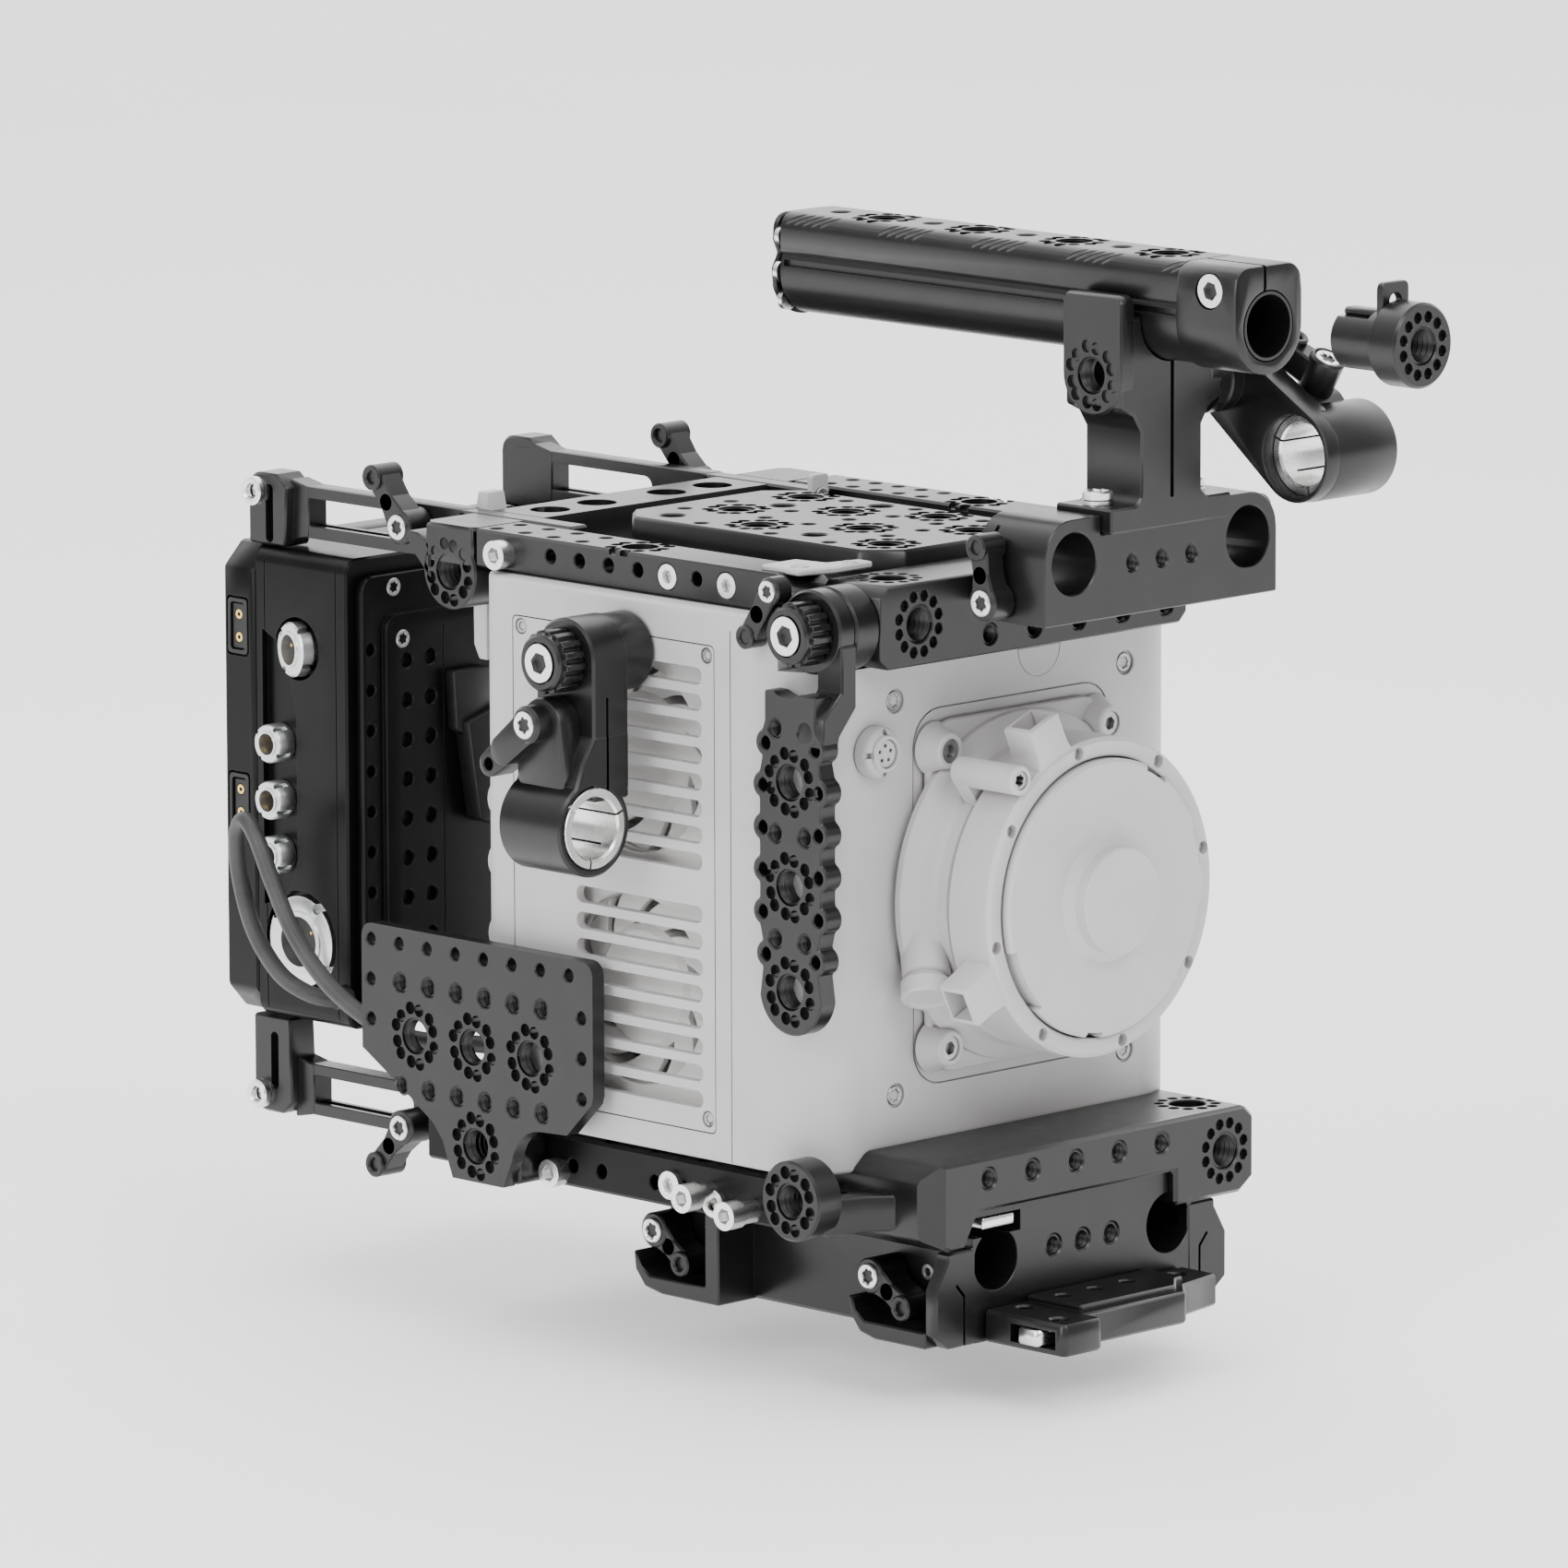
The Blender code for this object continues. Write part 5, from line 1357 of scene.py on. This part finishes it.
def base_plate():
    """The rod base: two bores, a waisted middle and a clamp jaw with its pocket at each corner."""
    low, high = span("base_plate")
    bottom, top, length = low[2], high[2], high[1]
    half = high[0]
    right = [(-37.0, bottom), (-38.3, bottom + 1.0), (-38.3, top)]
    outline = right + [(-a, b) for a, b in right[::-1]]
    rods = [circle(s * 30, -85, 7.5, 48) for s in (-1, 1)]
    core = prism("Y", 0.2, length - 0.2, outline, rods, 0.7)
    lands = (rect(-60, -5, -37.7, 21), rect(29.7, -5, 60, 21))
    cut(core, *[slot_tool("Z", -81, -60, land) for land in lands])
    cut(core, slot_tool("Z", -79, -73.9, rect(-50, -5, -21.5, 12.5)))
    cut(core, *[bore("Y", (x, -84.5), 2.6, 0.2, 9, 0.45) for x in (-10, 0, 10)])
    cut(core, *[slot_tool("Z", bottom - 1, bottom + 1.6, rect(-26, y, 26, y + 30)) for y in (32, 70)])
    threads = [thread_from("Y", (x, -84.5), 0.2, 8, 2.6, 1.27, 0.5) for x in (-10, 0, 10)]
    shapes = [core] + threads
    for s in (-1, 1):
        near, far = sorted((s * 37.0, s * half))
        crown = -81.3
        cheeks = prism("Y", 0, 4.0, [(s * 37, bottom), (s * 46, bottom), (s * half, bottom + 3.4),
                                     (s * half, -90), (s * 46.5, -83.2), (s * 46.5, crown),
                                     (s * 37, crown)], (), 0.5)
        cut(cheeks, slot_tool("Y", -1, 6, [(s * 40.6, bottom - 1), (s * 41.4, bottom - 1),
                                           (s * 41.4, -92.6), (s * 44.0, -89.6), (s * 43.4, -89.0),
                                           (s * 40.6, -92.2)]))
        front_sill = [(3.9, bottom), (21, bottom), (26, bottom + 1.2), (29.2, bottom + 5.0),
                      (29.8, bottom + 9.6), (28.7, bottom + 9.6), (27.6, bottom + 6.2), (24.6, -100.6),
                      (3.9, -100.6)]
        rear_sill = [(74.2, bottom), (94, bottom), (100, bottom + 1.2), (103.2, bottom + 5.0),
                     (103.8, bottom + 9.6), (102.8, bottom + 9.6), (101.4, bottom + 6.2), (98.2, -100.6),
                     (79, -100.6), (79, -80.2), (75.8, -80.2), (74.2, -84)]
        shapes += [cheeks] + [prism("X", near, far, sill, (), 0.4) for sill in (front_sill, rear_sill)]
        for y0, y1 in ((6.0, 29.0), (80.5, 102.4)):
            x0, x1 = sorted((s * 37.6, s * 39.4))
            shapes.append(prism("X", x0, x1, rounded(y0, -100.3, y1, -80.5, 3.0, 3), (), 0.4))
    piece("rod_base", "anodised", RIG, shapes, ["base_plate"])
    pins = []
    for s in (-1, 1):
        for y in (13.5, 87.7):
            pins += cap_screw("X", (y, -88.6), s * 38.6, s * 1.2, 1.9, "hex", 0.25)
    piece("jaw_pins", "bolt", RIG, pins)


def quick_release():
    """The dovetail plate with its latch bay, the latch and the release tab."""
    low, high = span("quick_release_plate")
    outline = [(-34.5, -26), (-33.5, -27), (-22, -27), (-21, -26), (-21, -21), (14, -21), (20, -15),
               (34.5, -12), (34.5, -0.3), (-34.5, -0.3)]
    plate = prism("Z", low[2], high[2], outline, (), 0.8)
    cut(plate, slot_tool("Z", -103, -98.5, rect(-40, -24, -23.5, -9)))
    holes = ((-29.5, -20.5), (-25.5, -5.5), (27, -5.5))
    cut(plate, *[bore("Z", c, 2.2, high[2], -5, 0.5, count=24) for c in holes])
    dovetail_rail = [(-20, -18.5), (13, -18.5), (19, -13), (22, -12.5), (22, -0.3), (-20, -0.3)]
    step = prism("Z", high[2] - 0.8, high[2] + 1.4, dovetail_rail, (), 0.5)
    cut(step, *[bore("Z", (x, -7), 1.9, high[2] + 1.4, -3, 0.4, count=20) for x in (-14, -3, 8)])
    piece("dovetail", "anodised", RIG, [plate, step], ["quick_release_plate"])
    low, high = span("safety_latch")
    outline = [(low[0], low[1] + 1), (low[0] + 2.2, low[1]), (high[0], low[1]), (high[0], high[1]),
               (low[0] + 2.2, high[1]), (low[0], high[1] - 1)]
    latch = prism("Z", low[2], high[2], outline, (), 0.5)
    piece("latch", "silver", "safety_latch", [latch], ["safety_latch"])
    low, high = span("release_tab")
    tab = prism("Z", low[2], high[2], rounded(low[0], low[1], high[0], high[1], 0.8, 3), (), 0.6, 2)
    piece("tab", "silver", "release_tab", [tab], ["release_tab"])


def lower_cage():
    """Every piece of the lower cage and the rod base."""
    side_plate()
    lower_rail(-1)
    lower_rail(1)
    for make in (bolts_low, cage_bottom_plate, lower_front_bar, base_plate, quick_release):
        make()
    for side, word in ((-1, "right"), (1, "left")):
        cam_lever(f"base_lever_front_{word}", f"base_lever_front_{word}", "X", (24, -89.7), (13, -96.0),
                  side * 50, side)
        cam_lever(f"base_lever_rear_{word}", f"base_lever_rear_{word}", "X", (98.2, -89.4), (88.5, -96.4),
                  side * 50, side)


# ---- rear module -------------------------------------------------------------------------
MODULE_LOW, MODULE_HIGH = span("module_body")


def module_body():
    """The power module's housing: seams, a long sunken connector panel and round pits."""
    low, high = MODULE_LOW, MODULE_HIGH
    y0, y1, z0, z1 = low[1], high[1], low[2], high[2]
    body = prism("Y", y0, y1, rounded(low[0], z0, high[0], z1, 4.0, 6), (), 0.6)
    channel = [(236.4, 44), (228, 40), (225.5, 30), (224, 24), (224, -14), (226, -20), (230, -24),
               (236.4, -26)]
    cut(body, slot_tool("X", -60, -48.0, channel))
    cut(body, turned_faces("X", (223.6, 40.2), [(0, -60), (8.9, -60), (7.6, -45.5), (0, -45.5)], 40))
    cut(body, turned_faces("X", (223.0, -33.8), [(0, -60), (13.2, -60), (12.6, -46.5), (0, -46.5)], 48))
    cut(body, slot_tool("X", -60, -49.5, rect(209.2, -60, 209.6, 70)))
    cut(body, slot_tool("X", -60, -49.5, rect(235.2, -60, 235.6, 70)))
    piece("module_housing", "darker_black_and_shade", "rear_module", [body], ["module_body"])
    battery_plate()
    front_plate()
    connectors()
    side_bracket()


def battery_plate():
    """The battery slab with its chamfered corners, wedge recess and two power taps."""
    low, high = span("battery_plate")
    y0, y1, z0, z1 = low[1], high[1], low[2], high[2]
    outline = [(-44, z0), (44, z0), (50, z0 + 6.5), (50, z1 - 6), (44, z1), (-44, z1), (-50, z1 - 6),
               (-50, z0 + 6.5)]
    slab = prism("Y", y0, y1, outline, (), 0.6)
    cut(slab, slot_tool("Y", 243.5, 260, [(-15, -30), (15, -30), (15, 45), (-15, 45)]))
    for z in (43.6, -0.9):
        cut(slab, slot_tool("X", -60, -48.8, rounded(241.3, z - 7.6, 249.4, z + 7.6, 1.2, 3)))
    cut(slab, *[bore("Y", (x, z), 2.0, y1, -4, 0.4) for x in (-36, 36) for z in (-44, 54)])
    piece("battery_slab", "darker_black_and_shade", "rear_module", [slab], ["battery_plate"])
    wedge = prism("Y", 243.5, y1 - 0.6, [(-11, -26), (11, -26), (8, 34), (-8, 34)], (), 0.8, 2)
    ribs = [block((-24 + 1.5 * k, y1 - 1.0, -46), (-23.4 + 1.5 * k, y1 - 0.1, -36), 0.2) for k in range(32)]
    piece("battery_wedge", "black_plastic", "rear_module", [wedge] + ribs)
    taps, pins = [], []
    for z in (43.6, -0.9):
        frame_ring = prism("X", -50.2, -48.8, rounded(241.8, z - 7.0, 248.9, z + 7.0, 1.0, 3),
                           [rounded(242.8, z - 6.0, 247.9, z + 6.0, 0.8, 3)], 0.15)
        insert = prism("X", -49.6, -48.4, rect(243.2, z - 5.6, 247.4, z + 5.6),
                       [circle(245.4, z + 2.9, 1.35, 20), circle(245.4, z - 2.9, 1.35, 20)], 0.2)
        taps += [frame_ring, insert]
        for dz in (2.9, -2.9):
            pins.append(turned("X", (245.4, z + dz), [(0.5, -49.5), (1.2, -49.5), (1.2, -48.5),
                                                      (0.5, -48.5)], 20))
    piece("power_taps", "black_plastic", "rear_module", taps)
    piece("tap_sockets", "brass", "rear_module", pins)


def front_plate():
    """The cheese plate on the module's front, with a raised panel and columns of holes."""
    low, high = span("module_front_plate")
    y0, y1 = low[1], high[1]
    base = prism("Y", y0 + 1.6, y1, rounded(-47, low[2], 47, high[2], 4, 5), (), 0.7, 2)
    panel = prism("Y", y0, y1 - 0.5, rounded(-40.5, low[2] + 4, 43, high[2] - 10, 4, 5), (), 0.7, 2)
    rows = [-42 + 10 * k for k in range(10)]
    columns = [(x, z) for x in (-33.5, -25.5) for z in rows if z < high[2] - 13]
    cut(panel, *[bore("Y", c, 1.9, y0, 3, 0.35, count=18) for c in columns])
    edge = [(-44.3, -40 + 10.2 * k) for k in range(9)]
    cut(base, *[bore("Y", c, 1.5, y0 + 1.6, 2.4, 0.3, count=16) for c in edge])
    cut(panel, slot_tool("Y", 190, y0 + 0.35, rect(-21.4, low[2] + 8, -21.0, high[2] - 14)))
    piece("module_cheese_plate", "darker_black_and_shade", "rear_module", [base, panel], ["module_front_plate"])
    heads = []
    for c in ((-36.5, 56.6), (-35.0, 43.6)):
        face = y0 + 1.6 if c[1] > 50 else y0
        heads += cap_screw("Y", c, face + 0.2, -0.5, 2.3, "lobe", 0.2)
    piece("module_front_screws", "grey_screw", "rear_module", heads)


def side_bracket():
    """The folded black bracket on the module's front, behind the camera."""
    upper = prism("Y", 197.2, 201.0, [(-21, 34), (-8, 34), (-8, 23), (-12, 15), (-20, 19)], (), 0.7, 2)
    lower = prism("Y", 195.2, 201.0, [(-18, 21), (-4, 25), (-4, -3), (-9, -6), (-14, -4)], (), 0.7, 2)
    piece("cable_bracket", "black_plastic", "rear_module", [upper, lower])


def round_socket(name, centre, face, radius, reach, cores, lean=0.0):
    """A round chromed socket: slotted nut, shell, insulator and brass contacts."""
    nut = turned("X", centre, [(radius * 0.68, face - reach), (radius * 0.93, face - reach),
                               (radius, face - reach + 0.5), (radius, face - 0.2),
                               (radius * 0.68, face - 0.2)], 56)
    slots = []
    for a, b in ring(*centre, radius * 0.96, 4, 35):
        slots.append(turned_faces("X", (a, b), [(0, face - reach - 1), (radius * 0.13, face - reach - 1),
                                                (radius * 0.13, face - reach * 0.25),
                                                (0, face - reach * 0.25)], 12))
    cut(nut, *slots)
    shell = turned("X", centre, [(radius * 0.56, face - reach - 0.4), (radius * 0.66, face - reach - 0.4),
                                 (radius * 0.70, face - reach + 0.3), (radius * 0.70, face + 2.0),
                                 (radius * 0.56, face + 2.0)], 48)
    insert = turned("X", centre, [(0, face - 0.4), (radius * 0.57, face - 0.4), (radius * 0.57, face + 2.2),
                                  (0, face + 2.2)], 40)
    pins = [turned("X", c, [(0, face - 2.2), (0.45, face - 2.0), (0.55, face - 1.6), (0.55, face),
                            (0, face)], 12) for c in ring(*centre, radius * 0.32, cores, 20)]
    metal, dark = [nut, shell], [insert]
    if lean:
        pivot_point = Vector((face, centre[0], centre[1]))
        turn = Matrix.Rotation(math.radians(lean), 4, "Z")
        home = Matrix.Translation(place(pivot_point))
        for item in metal + dark + pins:
            item.data.transform(home @ turn @ home.inverted())
    piece(name + "_shell", "steel", "rear_module", metal)
    piece(name + "_insert", "black_plastic", "rear_module", dark)
    piece(name + "_pins", "brass", "rear_module", pins)


def connectors():
    """The module's sockets on the operator's right."""
    round_socket("socket_top", (223.8, 40.0), -48.0, 6.9, 3.6, 2, -16)
    for k, z in enumerate((15.6, 1.2, -12.8)):
        round_socket(f"socket_small_{k}", (231.4, z), -48.0, 4.9, 5.2, 4)
    round_socket("socket_large", (223.0, -33.8), -47.2, 11.4, 3.4, 3)


def extension_arm(side, top):
    """A slotted arm: rail with a long window, tongue, and a foot with its slot and bolt."""
    word = "right" if side < 0 else "left"
    level = "top" if top else "bottom"
    node = f"arm_{level}_{word}"
    low, high = span(node)
    zc = 74.0 if top else -72.5
    up = 1 if top else -1
    x0, x1 = sorted((side * 39.0, side * 45.0))
    rail_outline = rounded(166.5, zc - 6.5, 240, zc + 6.5, 3, 4)
    rail = prism("X", x0, x1, rail_outline, [rounded(188, zc - 3.4, 226, zc + 3.6, 2.8, 6)], 0.6)
    cut(rail, slot_tool("X", x0 + 1.6, x1 - 1.6, rounded(184, zc - 5.0, 229, zc + 5.0, 3, 4)))
    tongue_z = sorted((74.0, 80.3)) if top else sorted((-79.0, -72.6))
    tongue = block((x0, 130, tongue_z[0]), (x1, 170, tongue_z[1]), 0.6)
    toe = low[2] if top else high[2]
    head = high[2] if top else low[2]
    foot_z = sorted((toe, head))
    foot_x = sorted((side * 39.2, side * 48.0))
    if top:
        outline = [(230, foot_z[0]), (243.2, foot_z[0])] + arc(239.2, foot_z[1] - 4, 4, 0, 90, 5) + [
            (233, foot_z[1]), (229, foot_z[1] - 3)]
    else:
        outline = [(230, foot_z[1]), (243.2, foot_z[1])] + arc(239.2, foot_z[0] + 4, 4, 0, -90, 5) + [
            (233, foot_z[0]), (229, foot_z[0] + 3)]
    foot = prism("X", foot_x[0], foot_x[1], outline, (), 0.6)
    flare = prism("X", x0 - 0.2, x1 + 0.2, [(231, zc - 7.8), (231, zc + 7.8), (224, zc + 6.3),
                                            (224, zc - 6.3)], (), 0.4)
    mid = (toe + head) / 2 - up * 1.0
    outer = side * 48
    groove = hull((235.4, mid + 6, 1.4), (235.4, mid - 6, 1.4))
    cut(foot, slot_tool("X", *sorted((outer - 2.6 * side, outer + side)), groove))
    piece(node + "_rail", "anodised", "rear_module", [rail, tongue, foot, flare], [node])
    bolt_z = head - up * 4.6
    head = cap_screw("X", (239.4, bolt_z), outer - side * 0.4, side * 3.4, 3.6, "hex", 0.45)
    piece(node + "_bolt", "bolt", "rear_module", head)


def rear_module():
    """The module, its arms and their levers."""
    module_body()
    for side, word in ((-1, "right"), (1, "left")):
        extension_arm(side, True)
        extension_arm(side, False)
        cam_lever(f"arm_lever_top_{word}", f"arm_lever_top_{word}", "X", (183, 75.5), (192, 87.0),
                  side * 54, side)
        cam_lever(f"arm_lever_bottom_{word}", f"arm_lever_bottom_{word}", "X", (184, -75.5), (193, -86.0),
                  side * 54, side)


# ---- cable -------------------------------------------------------------------------------
CABLE_R = 2.15
CABLE_ROUTE = [(-51, 207, -46), (-54, 208.5, -46), (-58, 212, -44.5), (-61, 219, -40), (-63, 226, -30),
               (-64, 230, -17), (-65.5, 229.5, -6), (-67, 225, -1), (-68, 219.5, -5), (-68, 214, -15),
               (-67.5, 207, -27), (-66.5, 198, -37), (-65, 188, -44), (-62, 178, -49), (-57, 169, -51),
               (-52, 160, -51), (-50, 152, -51), (-50, 145.5, -51)]


def smooth(points, steps):
    """Points along a Catmull-Rom curve through the given ones."""
    run = [Vector(p) for p in points]
    ends = [run[0] * 2 - run[1]] + run + [run[-1] * 2 - run[-2]]
    dense = []
    for p0, p1, p2, p3 in zip(ends, ends[1:], ends[2:], ends[3:]):
        for k in range(steps):
            t = k / steps
            dense.append(0.5 * (2 * p1 + (p2 - p0) * t + (2 * p0 - 5 * p1 + 4 * p2 - p3) * t * t
                                + (3 * p1 - p0 - 3 * p2 + p3) * t ** 3))
    return dense + [run[-1]]


def tube_mesh(name, points, radii, count):
    """A closed round tube along points, with parallel-carried rings."""
    verts, faces = [], []
    side = Vector((0, 0, 1))
    for i, p in enumerate(points):
        along = (points[min(i + 1, len(points) - 1)] - points[max(i - 1, 0)]).normalized()
        side = (side - along * side.dot(along)).normalized()
        over = along.cross(side)
        for k in range(count):
            a = 2 * math.pi * k / count
            verts.append(tuple(p + (side * math.cos(a) + over * math.sin(a)) * radii[i]))
    for i in range(len(points) - 1):
        for k in range(count):
            m = (k + 1) % count
            faces.append((i * count + k, i * count + m, (i + 1) * count + m, (i + 1) * count + k))
    faces.append(tuple(range(count)))
    faces.append(tuple(range((len(points) - 1) * count, len(points) * count)))
    mesh = mesh_of(verts, faces)
    mesh.name = name
    mesh.shade_smooth()
    mesh.set_sharp_from_angle(angle=math.radians(50))
    obj = bpy.data.objects.new(name, mesh)
    bpy.context.scene.collection.objects.link(obj)
    return obj


def cable():
    """The power cable as a fixed tube along its route (the real one bends when the module slides), and its
    collar.
    """
    route = smooth(CABLE_ROUTE, 6)
    jacket = tube_mesh("power_cable", route, [CABLE_R] * len(route), 24)
    jacket.data.materials.append(LOOKS["cable_rubber"])
    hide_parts("cable")
    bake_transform(jacket)
    collar = turned("X", (207, -46), [(0, -53.0), (2.6, -53.0), (3.0, -52.4), (3.2, -49.5), (0, -49.5)], 28)
    piece("cable_collar", "black_plastic", "rear_module", [collar])


# ---- camera, light and floor -------------------------------------------------------------
VIEW_FROM = (-2148.4, -2059.2, 545.0)    # millimetres on the drawing
VIEW_AZIMUTH = -44.832
VIEW_DOWN = 9.875
VIEW_ROLL = -0.18
VIEW_FOCAL = 289.2


def photo_camera():
    """The camera at the photograph's viewing angle."""
    data = bpy.data.cameras.new("view")
    data.lens = VIEW_FOCAL
    data.sensor_width = 36.0
    data.clip_end = 50.0
    camera_object = bpy.data.objects.new("view", data)
    turn = Matrix.Rotation(math.radians(VIEW_AZIMUTH), 4, "Z")
    tilt = Matrix.Rotation(math.radians(90 - VIEW_DOWN), 4, "X")
    roll = Matrix.Rotation(math.radians(VIEW_ROLL), 4, "Z")
    camera_object.matrix_world = Matrix.Translation(place(VIEW_FROM)) @ turn @ tilt @ roll
    bpy.context.scene.collection.objects.link(camera_object)
    bpy.context.scene.camera = camera_object


def area_light(name, where, aim, size, power):
    """A soft rectangular light."""
    data = bpy.data.lights.new(name, "AREA")
    data.shape = "RECTANGLE"
    data.size, data.size_y = size
    data.energy = power
    light = bpy.data.objects.new(name, data)
    light.location = where
    light.rotation_euler = (Vector(aim) - Vector(where)).to_track_quat("-Z", "Y").to_euler()
    bpy.context.scene.collection.objects.link(light)


def studio_world():
    """White surroundings, brightest overhead."""
    world = bpy.data.worlds.new("studio")
    bpy.context.scene.world = world
    world.use_nodes = True
    tree = world.node_tree
    back = tree.nodes["Background"]
    where = tree.nodes.new("ShaderNodeTexCoord")
    axes = tree.nodes.new("ShaderNodeSeparateXYZ")
    tree.links.new(where.outputs["Generated"], axes.inputs["Vector"])
    height = tree.nodes.new("ShaderNodeMapRange")
    height.inputs["From Min"].default_value = 0.0
    height.inputs["From Max"].default_value = 0.9
    height.inputs["To Min"].default_value = 0.30
    height.inputs["To Max"].default_value = 1.4
    tree.links.new(axes.outputs["Z"], height.inputs["Value"])
    behind = tree.nodes.new("ShaderNodeVectorMath")
    behind.operation = "DOT_PRODUCT"
    behind.inputs[1].default_value = (0.69, 0.69, 0.2)
    tree.links.new(where.outputs["Generated"], behind.inputs[0])
    wall = tree.nodes.new("ShaderNodeMapRange")
    wall.inputs["From Min"].default_value = 0.25
    wall.inputs["From Max"].default_value = 0.95
    wall.inputs["To Min"].default_value = 0.0
    wall.inputs["To Max"].default_value = 2.2
    tree.links.new(behind.outputs["Value"], wall.inputs["Value"])
    both = tree.nodes.new("ShaderNodeMath")
    both.operation = "ADD"
    tree.links.new(height.outputs["Result"], both.inputs[0])
    tree.links.new(wall.outputs["Result"], both.inputs[1])
    back.inputs["Color"].default_value = (1.0, 1.0, 1.0, 1.0)
    tree.links.new(both.outputs["Value"], back.inputs["Strength"])


def floor_material():
    """A plain pale floor."""
    material, tree, shader = shader_of("floor_pale")
    tone = ramp(tree, noise(tree, 3, 2), (0.90, 0.90, 0.90), (0.93, 0.93, 0.93))
    tree.links.new(tone, shader.inputs["Base Color"])
    shader.inputs["Roughness"].default_value = 0.9
    shader.inputs["Emission Color"].default_value = (1.0, 1.0, 1.0, 1.0)
    shader.inputs["Emission Strength"].default_value = 0.45
    return material


def studio():
    """White surroundings, a pale floor and soft lights."""
    studio_world()
    half = 8.0
    level = -0.015
    floor = bpy.data.objects.new("floor", bpy.data.meshes.new("floor"))
    floor.data.from_pydata([(-half, -half, level), (half, -half, level), (half, half, level),
                            (-half, half, level)], [], [(0, 1, 2, 3)])
    floor.data.materials.append(floor_material())
    bpy.context.scene.collection.objects.link(floor)
    area_light("side", (-2.4, -0.2, 1.2), (0, 0, 0.1), (1.2, 1.6), 34)
    area_light("front", (-0.6, -2.2, 2.0), (0, 0, 0.1), (1.4, 1.0), 34)
    area_light("top", (0.2, 0.2, 2.4), (0, 0, 0.1), (2.2, 2.2), 26)


photo_camera()
cable()
camera()
top_cage()
handle()
arms()
lower_cage()
rear_module()
studio()
